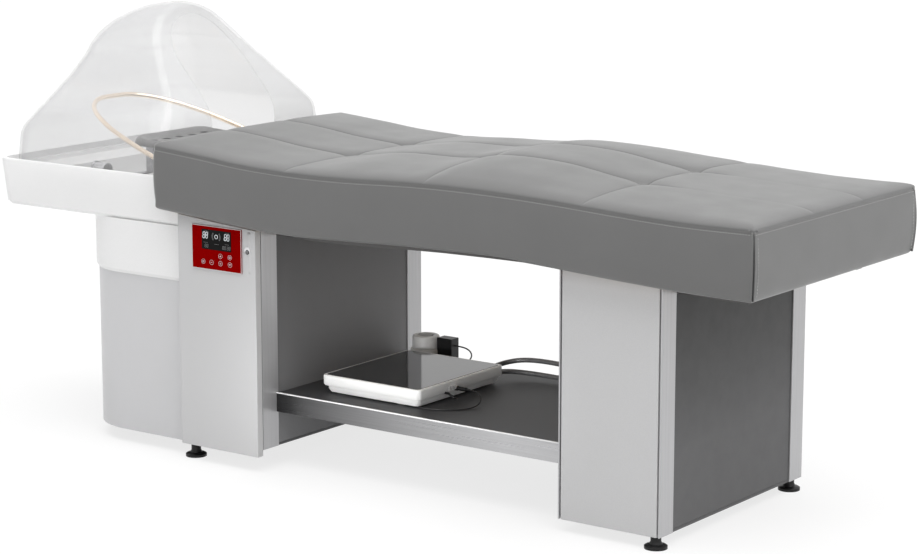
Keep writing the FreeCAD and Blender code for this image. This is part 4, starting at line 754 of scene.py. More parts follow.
def make_corner_seams(quilt):
    """The closed vertical seams at the two foot corners, each with a welt on both sides, a thin dark tube
    between them as painted shadow in the crease, and a fold on top.
    """
    welts, gaps = [], []
    low, high = quilt.underside(quilt.foot) + 0.006, quilt.seam(quilt.foot) + 0.001
    for side in (-1, 1):
        for dx, dy in ((0.0, -WELT_SPACING), (-WELT_SPACING, 0.0)):
            welts.append(tube_part(corner_path(quilt, side, dx, dy, low, high), WELT_RADIUS, 10))
        # A thin near-black tube down the seam paints the shadow in its crease.
        gap = corner_path(quilt, side, 0.0002, 0.0002, low, high - 0.003)
        gaps.append(tube_part(gap, GAP_RADIUS, 8))
        top = Vector((quilt.foot - 0.006, side * (HALF_WIDTH - 0.006), high + 0.001))
        fold = []
        for step in range(13):
            turn = math.pi * step / 12
            across = 0.0065 * math.cos(turn)
            fold.append(top + Vector((across, -side * across, 0.0035 * math.sin(turn))))
        welts.append(tube_part(fold, TOP_FOLD_RADIUS, 8))
    return joined("corner_welts", welts), joined("corner_gaps", gaps)


class WASHBED_OT_mattress(bpy.types.Operator):
    """Makes the quilted mattress with its piped and stitched edge"""
    bl_idname = "washbed.mattress"
    bl_label = "Mattress"

    def execute(self, context):
        sizes = context.scene.wash_bed_sizes
        quilt = Quilt(sizes)
        points, faces, places, normals = make_quilt_mesh(quilt)
        cover = mesh_piece("mattress_cover", points, faces)
        sharpen(cover, 60)
        settle(cover, "bed", "grey_vinyl", "grey_leather", "mattress")
        stitches = make_stitches(quilt, places, normals, sizes)
        settle(stitches, "bed", "pale_thread", "grey_leather")
        welts, gaps = make_corner_seams(quilt)
        settle(welts, "bed", "grey_vinyl", "grey_leather")
        # The seam tubes take the painted shadow finish.
        settle(gaps, "bed", "dark_seam", "grey_leather")
        return {"FINISHED"}


# Camera, light and floor

def aim_at(thing, direction):
    thing.rotation_euler = Vector(direction).to_track_quat("-Z", "Y").to_euler()


# the camera's focal length, its place and the point it looks at, in millimetres
FOCAL_LENGTH = 103.18
CAMERA_PLACE = (3639.7, -4818.8, 1604.7)
CAMERA_AIM = (110.55, 0, 453.14)


def make_camera():
    lens = bpy.data.cameras.new("photo_camera")
    lens.lens = FOCAL_LENGTH
    lens.sensor_width = 36
    lens.sensor_fit = "HORIZONTAL"
    lens.clip_end = 200
    camera = link_object("photo_camera", lens)
    camera.location = millimetres(*CAMERA_PLACE)
    aim_at(camera, millimetres(*CAMERA_AIM) - camera.location)
    bpy.context.scene.camera = camera


def unlit_rays(nodes, links):
    """1 for rays from the camera, reflections and see-through parts, else 0."""
    path = nodes.new("ShaderNodeLightPath")
    result = path.outputs["Is Camera Ray"]
    for kind in ("Is Glossy Ray", "Is Transmission Ray"):
        larger = nodes.new("ShaderNodeMath")
        larger.operation = "MAXIMUM"
        links.new(result, larger.inputs[0])
        links.new(path.outputs[kind], larger.inputs[1])
        result = larger.outputs["Value"]
    return result


def mixed_value(nodes, links, factor, low, high):
    span = nodes.new("ShaderNodeMapRange")
    span.inputs["To Min"].default_value = low
    span.inputs["To Max"].default_value = high
    links.new(factor, span.inputs["Value"])
    return span.outputs["Result"]


def make_backdrop(light):
    """White to the eye and in reflections, and a soft even light for everything else."""
    world = bpy.data.worlds.new("white_room")
    bpy.context.scene.world = world
    world.use_nodes = True
    nodes, links = world.node_tree.nodes, world.node_tree.links
    back = nodes["Background"]
    back.inputs["Color"].default_value = (1, 1, 1, 1)
    links.new(mixed_value(nodes, links, unlit_rays(nodes, links), light.fill, 1.0), back.inputs["Strength"])


def make_floor_finish(light):
    """A pale floor that bounces light like white paint and still looks white where the light falls."""
    floor = Surface("pale_floor", (0.80, 0.80, 0.80), 0.9)
    floor.put("Specular IOR Level", 0.0)
    floor.grain(3, 0.02, 0.0005)
    floor.put("Emission Color", (1, 1, 1, 1))
    seen = unlit_rays(floor.nodes, floor.links)
    for socket, unseen, shown in (("Base Color", light.bounce, light.floor_shade),
                                  ("Emission Strength", 0.0, light.floor_lift)):
        floor.drive(socket, mixed_value(floor.nodes, floor.links, seen, unseen, shown))
    return floor.material


def make_floor(light, reach=60):
    corners = [(-reach, -reach, 0), (reach, -reach, 0), (reach, reach, 0), (-reach, reach, 0)]
    floor = mesh_piece("floor", corners, [(0, 1, 2, 3)], smooth=False)
    floor.data.materials.append(make_floor_finish(light))
    return floor


def make_sun(name, strength, softness, direction):
    lamp = bpy.data.lights.new(name, "SUN")
    lamp.energy = strength
    lamp.angle = math.radians(softness)
    sun = link_object(name, lamp)
    aim_at(sun, direction)
    return sun


def make_panel_light(name, power, width, height, place, aim, spread=180):
    lamp = bpy.data.lights.new(name, "AREA")
    lamp.spread = math.radians(spread)
    lamp.shape = "RECTANGLE"
    lamp.size, lamp.size_y = width, height
    lamp.energy = power
    panel = link_object(name, lamp)
    panel.location = place
    aim_at(panel, Vector(aim) - Vector(place))
    return panel


class WASHBED_OT_stage(bpy.types.Operator):
    """Places the camera, the lights and the pale floor"""
    bl_idname = "washbed.stage"
    bl_label = "Camera, light and floor"

    def execute(self, context):
        light = context.scene.wash_bed_light
        make_camera()
        make_backdrop(light)
        floor = make_floor(light)
        overhead = make_sun("overhead_light", light.overhead, 60, (-0.25, 0.12, -1.0))
        side = make_sun("foot_side_light", light.side, 50, (-1.0, 0.35, -0.45))
        strip = make_panel_light("strip_light", light.strip, 0.25, 2.4, (1.6, -4.2, 1.9), (-0.7, 0, 0.85))
        shelf = make_panel_light("shelf_light", light.shelf, 0.5, 0.10, (0.12, -1.1, 0.30),
                                 (0.08, 0, 0.17), 50)
        context.scene.view_settings.view_transform = "Standard"
        return {"FINISHED"}


# Cords

CABLE_ROUTE = (
    (185, -62, 207),
    (201, -63, 206.5),
    (218, -68, 203),
    (231, -80, 194),
    (235, -99, 185.5),
    (229, -124, 181.7),
    (213, -148, 181.7),
    (190, -167, 181.7),
    (162, -178, 181.7),
    (134, -181, 181.7),
    (107, -178, 181.7),
    (85, -172, 181.7),
)
LEAD_ROUTE = (
    (-66, 223, 228),
    (-48, 223, 228),
    (-27, 220, 226),
    (-8, 210, 221),
    (6, 193, 215),
    (13, 170, 209.5),
    (15, 149, 207),
    (15, 135, 207),
)
CABLE_RADIUS, LEAD_RADIUS, HOSE_RADIUS = 0.0016, 0.0018, 0.006
HOSE_ROUTES = (
    ((96, 135, 210), (97, 158, 211), (110, 187, 217), (142, 207, 224), (194, 213, 227), (262, 212, 226),
     (330, 210, 223), (398, 210, 222), (466, 208, 220), (532, 205, 218), (597, 205, 218)),
    ((121, 135, 204), (122, 152, 203), (134, 178, 200), (164, 197, 197), (210, 206, 195), (270, 207, 194),
     (330, 207, 194), (398, 206, 193), (466, 203, 192), (532, 200, 192), (597, 200, 192)),
)


def round_line(name, route, radius):
    """A round cord along its route points."""
    curve = bpy.data.curves.new(name, "CURVE")
    curve.dimensions = "3D"
    curve.resolution_u = 14
    curve.bevel_depth = radius
    curve.bevel_resolution = 6
    curve.use_fill_caps = True
    line = curve.splines.new("NURBS")
    line.points.add(len(route) - 1)
    for point, place in zip(line.points, route):
        point.co = (*millimetres(*place), 1)
    line.order_u = 3
    line.use_endpoint_u = True
    return link_object(name, curve)


class WASHBED_OT_cords(bpy.types.Operator):
    """Makes the thin cable, the power lead and the air hoses"""
    bl_idname = "washbed.cords"
    bl_label = "Cords"

    def execute(self, context):
        cable = round_line("thin_cable", CABLE_ROUTE[::-1], CABLE_RADIUS)
        settle(cable, "bed", "black_cable_sleeve", "black_cord", "unit_cable")
        lead = round_line("power_lead", LEAD_ROUTE, LEAD_RADIUS)
        settle(lead, "bed", "black_cable_sleeve", "black_cord", "adapter_lead")
        plug = dress("unit_plug", "black_plastic", 0.0006)
        for number, route in enumerate(HOSE_ROUTES, 1):
            hose = round_line("air_hose_%d" % number, route, HOSE_RADIUS)
            settle(hose, "bed", "grey_air_hose", "black_cord", *(["air_hoses"] if number == 1 else []))
        return {"FINISHED"}


# Frame and cabinets

class WASHBED_OT_bed_frame(bpy.types.Operator):
    """Finishes the board and the rails under the mattress"""
    bl_idname = "washbed.bed_frame"
    bl_label = "Bed frame"

    def execute(self, context):
        dress("mattress_board", "bare_plywood")
        for node in ("side_rails", "cross_rails"):
            dress(node, "grey_frame_paint")
        return {"FINISHED"}


class WASHBED_OT_cabinets(bpy.types.Operator):
    """Finishes the panels, the corner posts and the plates"""
    bl_idname = "washbed.cabinets"
    bl_label = "Cabinets"

    def execute(self, context):
        sizes = context.scene.wash_bed_sizes
        for node in ("foot_near_panel", "foot_far_panel"):
            dress(node, "silver_lacquer", sizes.panel_edge)
        # Rounded edges would crease this panel's face round its two inlets.
        dress("head_far_panel", "silver_lacquer")
        for node in ("foot_end_panel", "head_rear_panel"):
            dress(node, "dark_lacquer", sizes.panel_edge)
        # The inner panels take the brighter copy of the dark lacquer: painted light.
        for node in ("foot_inner_panel", "head_inner_panel"):
            dress(node, "inner_dark_lacquer", sizes.panel_edge)
        for node in ("foot_corner_posts", "head_corner_posts"):
            dress(node, "brushed_corner_trim", 0.0007)
        for node in ("cabinet_top_plates", "foot_base_plate", "head_base_plate"):
            dress(node, "grey_frame_paint")
        return {"FINISHED"}


class WASHBED_OT_shelf(bpy.types.Operator):
    """Finishes the shelf and its two brushed rails"""
    bl_idname = "washbed.shelf"
    bl_label = "Shelf"

    def execute(self, context):
        dress("shelf_panel", "dark_shelf_board", 0.001)
        dress("shelf_rails", "brushed_shelf_rail", 0.0008)
        low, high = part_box("shelf_panel")
        rail_low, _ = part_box("shelf_rails")
        strip = box_part((low.x, rail_low.y - 0.0008, high.z - 0.0012),
                         (high.x, rail_low.y + 0.0030, high.z + 0.0016))
        trim = joined("shelf_edge_trim", [strip], smooth=False)
        round_edges(trim, 0.0008)
        settle(trim, "bed", "bright_edge_trim", "brushed_rail")
        return {"FINISHED"}


# Door and controls

def flat_part(outline, front, back):
    """A thin plate facing the near side: its outline seen from the front as (x, z) pairs."""
    near = [Vector((x, front, z)) for x, z in outline]
    far = [Vector((x, back, z)) for x, z in outline]
    return rings_mesh([near, far])


def band_part(outer, inner, front, back, closed=True):
    """A flat band between two outlines of equal count, facing the near side."""
    points = [Vector((x, y, z)) for pair in zip(outer, inner) for x, z in pair for y in (front, back)]
    faces = []
    count = len(outer)
    for step in range(count if closed else count - 1):
        a, b = 4 * step, 4 * ((step + 1) % count)
        faces += [(a, b, b + 2, a + 2), (a + 3, b + 3, b + 1, a + 1), (a + 1, b + 1, b, a),
                  (a + 2, b + 2, b + 3, a + 3)]
    if not closed:
        end = 4 * (count - 1)
        faces += [(0, 2, 3, 1), (end + 1, end + 3, end + 2, end)]
    return points, faces


def ring_part(x, z, radius, width, front, back, first=0.0, last=1.0):
    """A flat ring, or the part of one between two shares of a full turn."""
    whole = last - first >= 1
    steps = 48 if whole else int(48 * (last - first))
    marks = range(steps if whole else steps + 1)
    angles = [math.tau * (first + (last - first) * step / steps) for step in marks]
    outer, inner = ([(x + reach * math.cos(angle), z + reach * math.sin(angle)) for angle in angles]
                    for reach in (radius, radius - width))
    return band_part(outer, inner, front, back, whole)


def bar_outline(x0, z0, x1, z1):
    return [(x0, z0), (x1, z0), (x1, z1), (x0, z1)]


def segment_bars(width, height, stroke, gap):
    """The seven bars of a lit digit, as outlines from its lower left corner."""
    half, cut = height / 2, stroke / 2
    bars = []
    for z in (cut, half, height - cut):
        left, right = cut + gap, width - cut - gap
        bars.append([(left, z), (left + cut, z - cut), (right - cut, z - cut), (right, z),
                     (right - cut, z + cut), (left + cut, z + cut)])
    for x in (cut, width - cut):
        for low, high in ((cut, half), (half, height - cut)):
            bottom, top = low + gap, high - gap
            bars.append([(x, bottom), (x + cut, bottom + cut), (x + cut, top - cut), (x, top),
                         (x - cut, top - cut), (x - cut, bottom + cut)])
    return bars


def digit_parts(x, z, width, height, stroke, front, back):
    """One eight, leaning a little to the right."""
    return [flat_part([(x + px + 0.1 * pz, z + pz) for px, pz in bar], front, back)
            for bar in segment_bars(width, height, stroke, stroke * 0.12)]


# shares of the display window: left edges of the large and small digits; places and lengths of the small bars
LARGE_DIGIT_SHARES = (0.030, 0.125, 0.765, 0.860)
SMALL_DIGIT_SHARES = (0.10, 0.165, 0.705, 0.770, 0.860, 0.925)
BAR_SHARES = ((0.06, 0.33, 0.16), (0.44, 0.29, 0.15), (0.80, 0.34, 0.14), (0.08, 0.93, 0.12),
              (0.82, 0.92, 0.12))


def make_display_marks(window):
    """Bright digits and the round sign on the display, placed as shares of the window."""
    low, high = window
    wide, tall = high.x - low.x, high.z - low.z
    front, back = low.y - 0.00012, low.y + 0.0001
    bright, dim = [], []
    for share in LARGE_DIGIT_SHARES:
        bright += digit_parts(low.x + share * wide, low.z + 0.54 * tall, 0.080 * wide, 0.34 * tall, 0.0013,
                              front, back)
    for share in SMALL_DIGIT_SHARES:
        dim += digit_parts(low.x + share * wide, low.z + 0.08 * tall, 0.052 * wide, 0.18 * tall, 0.0008,
                           front, back)
    middle, height = low.x + 0.50 * wide, low.z + 0.68 * tall
    bright.append(ring_part(middle, height, 0.0050, 0.0012, front, back))
    for first in (-0.12, 0.38):
        for radius, width in ((0.0132, 0.0011), (0.0110, 0.0008)):
            dim.append(ring_part(middle, height, radius, width, front, back, first=first, last=first + 0.24))
    for across, up, length in BAR_SHARES:
        z = low.z + up * tall
        for step in range(3):
            x = low.x + across * wide + step * length * wide / 3
            dim.append(flat_part(bar_outline(x, z, x + 0.26 * length * wide, z + 0.0007), front, back))
    return joined("display_digits", bright, smooth=False), joined("display_signs", dim, smooth=False)


KEY_SHARES = ((0.58, 0.34), (0.77, 0.34), (0.23, 0.175), (0.40, 0.175), (0.58, 0.175), (0.77, 0.175))


def key_marks(low, high):
    """A thin ring round each touch key on the panel, with a small plain sign in it."""
    keys_low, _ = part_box("touch_keys")
    front, back = keys_low.y - 0.0001, keys_low.y + 0.00015
    parts = []
    reach, stroke = 0.0026, 0.0004
    for number, (across, up) in enumerate(KEY_SHARES):
        x = low.x + across * (high.x - low.x)
        z = low.z + up * (high.z - low.z)
        parts.append(ring_part(x, z, 0.0059, 0.0006, front, back))
        upright = flat_part(bar_outline(x - stroke, z - reach, x + stroke, z + reach), front, back)
        level = flat_part(bar_outline(x - reach, z - stroke, x + reach, z + stroke), front, back)
        wing, tip = 0.0016, 0.0024
        up_arrow = flat_part([(x - reach, z - wing), (x + reach, z - wing), (x, z + tip)], front, back)
        down_arrow = flat_part([(x - reach, z + wing), (x, z - tip), (x + reach, z + wing)], front, back)
        parts += (
            [up_arrow],
            [ring_part(x, z, 0.0028, 0.0007, front, back), upright],
            [ring_part(x, z, 0.0028, 0.0007, front, back, first=0.33, last=1.17), upright],
            [level],
            [level, upright],
            [down_arrow],
        )[number]
    return joined("key_signs", parts, smooth=False)


PULL_TOP, PULL_BOTTOM = 0.566, 0.468
PULL_HALF_WIDTH = 0.0048
PULL_DEPTH = 0.0024


def make_door_pull():
    """The slim upright moulding behind the lock, fading out downwards."""
    low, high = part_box("door_lock")
    door_low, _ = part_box("cabinet_door")
    x, face = (low.x + high.x) / 2 + 0.004, door_low.y
    rings = []
    for step in range(15):
        z = blend(PULL_TOP, PULL_BOTTOM, step / 14)
        proud = PULL_DEPTH * math.sqrt(clamp(1.02 - step / 14)) * (1 if step else 0.6)
        rings.append([
            Vector((x + PULL_HALF_WIDTH * math.cos(turn), face + 0.0004 - proud * math.sin(turn), z))
            for turn in (math.pi * k / 12 for k in range(13))
        ])
    return joined("door_pull", [rings_mesh(rings)])


class WASHBED_OT_door(bpy.types.Operator):
    """Finishes the door, its hinges and its lock"""
    bl_idname = "washbed.door"
    bl_label = "Door and lock"

    def execute(self, context):
        sizes = context.scene.wash_bed_sizes
        dress("cabinet_door", "silver_lacquer", sizes.panel_edge)
        dress("hinge_knuckles", "polished_metal")
        dress("hinge_brackets", "polished_metal")
        dress("door_lock", "polished_metal", 0.0005)
        low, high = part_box("door_lock")
        x, z = (low.x + high.x) / 2, (low.z + high.z) / 2
        face = turned_part(((0.0, low.y - 0.0002), (0.0052, low.y - 0.0002), (0.0056, low.y + 0.0001),
                            (0.0056, low.y + 0.0006)), 40, (x, 0, z), "y")
        settle(joined("lock_face", [face]), "lock", "black_plastic", "black_plastic")
        settle(make_door_pull(), "door", "silver_lacquer", "pale_panel")
        slot = flat_part(bar_outline(x - 0.0007, z - 0.0036, x + 0.0007, z + 0.0036), low.y - 0.0005, low.y)
        settle(joined("lock_slot", [slot], smooth=False), "lock", "polished_metal", "chrome")
        return {"FINISHED"}


class WASHBED_OT_controls(bpy.types.Operator):
    """Makes the control panel's display marks and key signs"""
    bl_idname = "washbed.controls"
    bl_label = "Controls"

    def execute(self, context):
        dress("control_panel", "red_control_film", 0.0006)
        dress("display_window", "black_display_film", 0.0002)
        dress("touch_keys", "red_control_film", 0.0002)
        dress("control_box", "black_plastic", 0.0008)
        low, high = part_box("control_panel")
        outer, inner = [bar_outline(low.x + inset, low.z + inset, high.x - inset, high.z - inset)
                        for inset in (0.0002, 0.0014)]
        border = band_part(outer, inner, low.y - 0.0002, low.y + 0.0002)
        settle(joined("control_border", [border], smooth=False), "door", "white_print", "red_plastic")
        digits, signs = make_display_marks(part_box("display_window"))
        settle(digits, "door", "lit_digits", "display_glass")
        settle(signs, "door", "dim_signs", "display_glass")
        settle(key_marks(low, high), "door", "white_print", "silver_key")
        return {"FINISHED"}


# Basin

class WASHBED_OT_basin(bpy.types.Operator):
    """Finishes the tray, the tub, the skirt and the drain"""
    bl_idname = "washbed.basin"
    bl_label = "Basin"

    def execute(self, context):
        sizes = context.scene.wash_bed_sizes
        dress("basin_tray", "white_moulding", sizes.basin_edge)
        dress("basin_tub", "white_moulding")
        dress("basin_skirt", "pale_skirt")
        dress("drain_body", "polished_metal", 0.0006)
        dress("drain_plug", "polished_metal", 0.0005)
        dress("drain_pipe", "pale_grey_plastic")
        return {"FINISHED"}


# share of the hood's height; rear and front set in over its length; half width
HOOD_SHARES = (
    (0.000, 0.000, 0.000, 1.000),
    (0.190, 0.015, 0.000, 0.993),
    (0.248, 0.042, 0.000, 0.990),
    (0.298, 0.082, 0.000, 0.979),
    (0.343, 0.115, 0.004, 0.962),
    (0.379, 0.134, 0.012, 0.925),
    (0.412, 0.143, 0.023, 0.889),
    (0.477, 0.170, 0.061, 0.816),
    (0.518, 0.190, 0.088, 0.780),
    (0.611, 0.225, 0.149, 0.698),
    (0.664, 0.242, 0.187, 0.651),
    (0.747, 0.252, 0.239, 0.583),
    (0.816, 0.275, 0.277, 0.517),
    (0.886, 0.325, 0.309, 0.434),
    (0.934, 0.385, 0.324, 0.347),
    (0.972, 0.455, 0.334, 0.229),
    (0.992, 0.535, 0.350, 0.125),
    (1.000, 0.580, 0.380, 0.042),
)
HOOD_RIB_SHARES = (0.379, 0.518, 0.664)
HOOD_MARGIN = 0.003
MOUTH_RADIUS = 0.117
MOUTH_HEIGHT = 0.250
MOUTH_DEPTH = 0.26


def hood_rows():
    """Height, rear, front and half width of the hood at close levels, with its small moulded steps."""
    low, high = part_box("hood")
    length, half, height = high.x - low.x, high.y, high.z - low.z
    levels = []
    for before, after in zip(HOOD_SHARES, HOOD_SHARES[1:]):
        for step in range(5):
            part = step / 5
            levels.append(tuple(blend(a, b, part) for a, b in zip(before, after)))
    levels.append(HOOD_SHARES[-1])
    rows = []
    for up, rear, front, wide in levels:
        lip = sum(0.0016 / (1 + math.exp((up - rib) * 420)) for rib in HOOD_RIB_SHARES)
        rows.append((low.z + up * height, low.x + rear * length - lip + HOOD_MARGIN,
                     high.x - front * length + lip - HOOD_MARGIN, wide * half + lip - HOOD_MARGIN))
    return rows


def smoothed(values):
    """The values with each drawn twice towards its neighbours, and the ends kept."""
    for _ in range(2):
        inner = [(a + 2 * b + c) / 4 for a, b, c in zip(values, values[1:], values[2:])]
        values = [values[0], *inner, values[-1]]
    return values


def hood_rings(inset):
    """The hood's levels as rings, drawn in by the inset; the upper ones also come down by it."""
    columns = [smoothed(column) for column in zip(*hood_rows())]
    foot = columns[0][0]
    rings = []
    for z, rear, front, half in zip(*columns):
        rear, front, half = rear + inset, front - inset, half - inset
        limit = 0.92 * min(half, (front - rear) / 2)
        rings.append(rounded_ring(rear, front, half, min(0.075, limit), min(0.018 + 0.02 * (z - foot), limit),
                                  z - inset if z > foot + 0.3 else z))
    return rings


class WASHBED_OT_hood(bpy.types.Operator):
    """Makes the clear hood with its arched mouth"""
    bl_idname = "washbed.hood"
    bl_label = "Hood"

    def execute(self, context):
        sizes = context.scene.wash_bed_sizes
        inner_rings = hood_rings(sizes.hood_wall)
        inner_rings[0] = [point - Vector((0, 0, 0.01)) for point in inner_rings[0]]
        hood = joined("clear_hood", [rings_mesh(hood_rings(0.0))])
        carve(hood, joined("hood_inside", [rings_mesh(inner_rings)]))
        low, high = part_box("hood")
        spring = low.z + MOUTH_HEIGHT
        mouth = [(-MOUTH_RADIUS, low.z - 0.01), (MOUTH_RADIUS, low.z - 0.01)]
        for step in range(33):
            turn = math.pi * step / 32
            mouth.append((MOUTH_RADIUS * math.cos(turn), spring + MOUTH_RADIUS * math.sin(turn)))
        block = [[Vector((x, y, z)) for y, z in mouth] for x in (high.x - MOUTH_DEPTH, high.x + 0.02)]
        carve(hood, joined("hood_mouth", [rings_mesh(block)]))
        sharpen(hood, 40)
        settle(hood, "hood_cover", "clear_hood_plastic", "clear_plastic", "hood")
        return {"FINISHED"}


class WASHBED_OT_arch(bpy.types.Operator):
    """Finishes the bent tube and its swivels"""
    bl_idname = "washbed.arch"
    bl_label = "Water arch"

    def execute(self, context):
        dress("water_arch", "rose_gold_tube")
        dress("arch_swivels", "polished_metal", 0.0006)
        return {"FINISHED"}


# share of the pad's height; how far its side is drawn in there
REST_EDGE_SHARES = (
    (0.00, 0.007),
    (0.05, 0.003),
    (0.15, 0.0005),
    (0.30, 0.000),
    (0.50, 0.001),
    (0.66, 0.003),
    (0.80, 0.0065),
    (0.90, 0.011),
    (0.97, 0.017),
    (1.00, 0.024),
)
# shares of the way from the pad's middle to its edge at which its top has a ring of points
REST_RINGS = (0.96, 0.92, 0.88, 0.85, 0.82, 0.79, 0.76, 0.73, 0.70, 0.66, 0.58, 0.44, 0.28, 0.10)
REST_CORNER = 0.050
# radius of the holes; how far apart they are across and along; the first row from the pad's rear end
REST_HOLE, HOLES_ACROSS, HOLES_ALONG, FIRST_HOLES = 0.0108, 0.046, 0.037, 0.054


class RestPad:
    """The head rest pad: a flat seat behind a raised rear rim that follows the rounded corners."""

    def __init__(self):
        self.low, self.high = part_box("head_rest")
        self.half = self.high.y
        self.seat, self.crest = self.low.z + 0.015, self.high.z + 0.001
        first = self.low.x + FIRST_HOLES
        # Three rows, the middle one half a step aside.
        self.holes = [(first + row * HOLES_ALONG, (step + 0.5 * (row % 2)) * HOLES_ACROSS)
                      for row in range(3) for step in range(-2, 3 - row % 2)]

    def top(self, x, y):
        """Height of the pad's top: the rim blends into the seat, and the middle sags a little."""
        beyond = abs(y) - (self.half - REST_CORNER)
        bend = REST_CORNER - math.sqrt(max(REST_CORNER ** 2 - beyond ** 2, 0)) if beyond > 0 else 0.0
        inside = x - self.low.x - bend
        rim = clamp((0.044 - inside) / 0.026)
        rim = rim * rim * (3 - 2 * rim)
        sag = 0.0035 * (1 - (y / self.half) ** 2)
        side = 0.002 * clamp((abs(y) - 0.75 * self.half) / (0.25 * self.half))
        return blend(self.seat + side, self.crest, rim) - sag

    def drills(self):
        """The rods that cut the holes."""
        parts = []
        for x, y in self.holes:
            low, high = self.low.z - 0.01, self.top(x, y) + 0.02
            rod = ((0.0, low), (REST_HOLE, low), (REST_HOLE, high), (0.0, high))
            parts.append(turned_part(rod, 28, (x, y, 0)))
        return joined("rest_drills", parts)

    def linings(self):
        """Short dark tubes that line the holes: painted shade inside them."""
        parts = []
        for x, y in self.holes:
            low, high = self.low.z + 0.0004, self.top(x, y) - 0.0001
            parts.append(sleeve_part(x, y, low, high, REST_HOLE - 0.0008, REST_HOLE + 0.0002))
        return joined("rest_hole_linings", parts)

    def cover(self):
        """The pad with its rounded edge and its holes."""
        rings = []
        for share, inset in REST_EDGE_SHARES:
            corner = REST_CORNER - inset
            ring = rounded_ring(self.low.x + inset, self.high.x - inset, self.half - inset, corner, corner, 0)
            rings.append([Vector((p.x, p.y, blend(self.low.z, self.top(p.x, p.y), share))) for p in ring])
        edge = rings[-1]
        middle = (self.low.x + self.high.x) / 2
        for part in REST_RINGS:
            places = [(blend(middle, point.x, part), point.y * part) for point in edge]
            rings.append([Vector((x, y, self.top(x, y))) for x, y in places])
        pad = joined("rest_pad", [rings_mesh(rings)])
        carve(pad, self.drills())
        sharpen(pad, 50)
        return pad


def sleeve_part(x, y, low, high, inner, outer, sides=28):
    """A short open tube that lines a hole."""
    rings = []
    for radius, z in ((outer, low), (outer, high), (inner, high), (inner, low)):
        rings.append([Vector((x + radius * math.cos(turn), y + radius * math.sin(turn), z))
                      for turn in turns(sides)])
    points, faces = rings_mesh(rings, closed_ends=False)
    last = 3 * sides
    for step in range(sides):
        following = (step + 1) % sides
        faces.append((last + step, last + following, following, step))
    return points, faces


class WASHBED_OT_head_rest(bpy.types.Operator):
    """Makes the perforated pad and its bracket"""
    bl_idname = "washbed.head_rest"
    bl_label = "Head rest"

    def execute(self, context):
        pad = RestPad()
        settle(pad.cover(), "rest", "grey_rubber", "grey_rubber", "head_rest")
        # The dark linings paint the shade inside the holes.
        settle(pad.linings(), "rest", "dark_hole_rubber", "grey_rubber")
        dress("head_rest_bracket", "brushed_steel", 0.0006)
        return {"FINISHED"}


class WASHBED_OT_mixer(bpy.types.Operator):
    """Finishes the mixer valve and its knob"""
    bl_idname = "washbed.mixer"
    bl_label = "Mixer"

    def execute(self, context):
        dress("mixer_valve", "polished_metal", 0.0006)
        dress("mixer_knob", "polished_metal", 0.0008)
        return {"FINISHED"}


class WASHBED_OT_inner_works(bpy.types.Operator):
    """Finishes the tank, the heater, the pump and the pipes"""
    bl_idname = "washbed.inner_works"
    bl_label = "Tank and pump"

    def execute(self, context):
        for node in ("water_tank", "tank_lid", "heating_element"):
            dress(node, "brushed_steel")
        dress("circulation_pump", "black_plastic")
        dress("water_pipes", "pale_grey_plastic")
        dress("hose_fittings", "machined_brass", 0.0004)
        return {"FINISHED"}


# Unit and air supply

# bends of the release tab from its hinge
TAB_BENDS = ((0, 0, 0), (0.010, 0, -0.0005), (0.022, -0.002, -0.005), (0.031, -0.002, -0.0085))


class WASHBED_OT_unit(bpy.types.Operator):
    """Finishes the white unit and makes its socket plate and release tab"""
    bl_idname = "washbed.unit"
    bl_label = "Flat unit"

    def execute(self, context):
        dress("unit_case", "white_case", 0.0012)
        dress("unit_glass", "dark_cover_glass", 0.0006)
        dress("unit_socket", "polished_metal", 0.0004)
        low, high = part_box("unit_socket")
        face, height = low.x, (low.z + high.z) / 2
        block = box_part((face, low.y - 0.014, height - 0.008),
                         (face + 0.0015, high.y + 0.002, height + 0.006))
        plate = joined("socket_plate", [block], smooth=False)
        round_edges(plate, 0.0005)
        settle(plate, "bed", "pale_grey_plastic", "white_plastic")
        hinge = Vector((face - 0.001, low.y - 0.028, height - 0.006))
        latch = joined("release_tab", [tube_part([hinge + Vector(bend) for bend in TAB_BENDS], 0.0027, 8)])
        settle(latch, "bed", "black_plastic", "black_plastic")
        return {"FINISHED"}


def slot_part(x, y, z, length, width):
    """One vent slot: a shallow dark capsule lying on a top."""
    rings = []
    for height in (z - 0.001, z + 0.0003):
        ring = []
        for turn in turns(16):
            end = length if math.sin(turn) > 0 else -length
            ring.append(Vector((x + width * math.cos(turn), y + end + width * math.sin(turn), height)))
        rings.append(ring)
    return rings_mesh(rings)


# the pump's shell under its top: how far it stands out past the CAD case, and how far down
PUMP_SIDE = (
    (0.005, 0.036),
    (0.004, 0.0325),
    (0.0005, 0.031),
    (0.0005, 0.005),
    (-0.001, 0.0015),
    (-0.004, 0.0),
    (-0.006, 0.0006),
)
VENT_STEP, VENT_ROW = 0.0062, 0.013


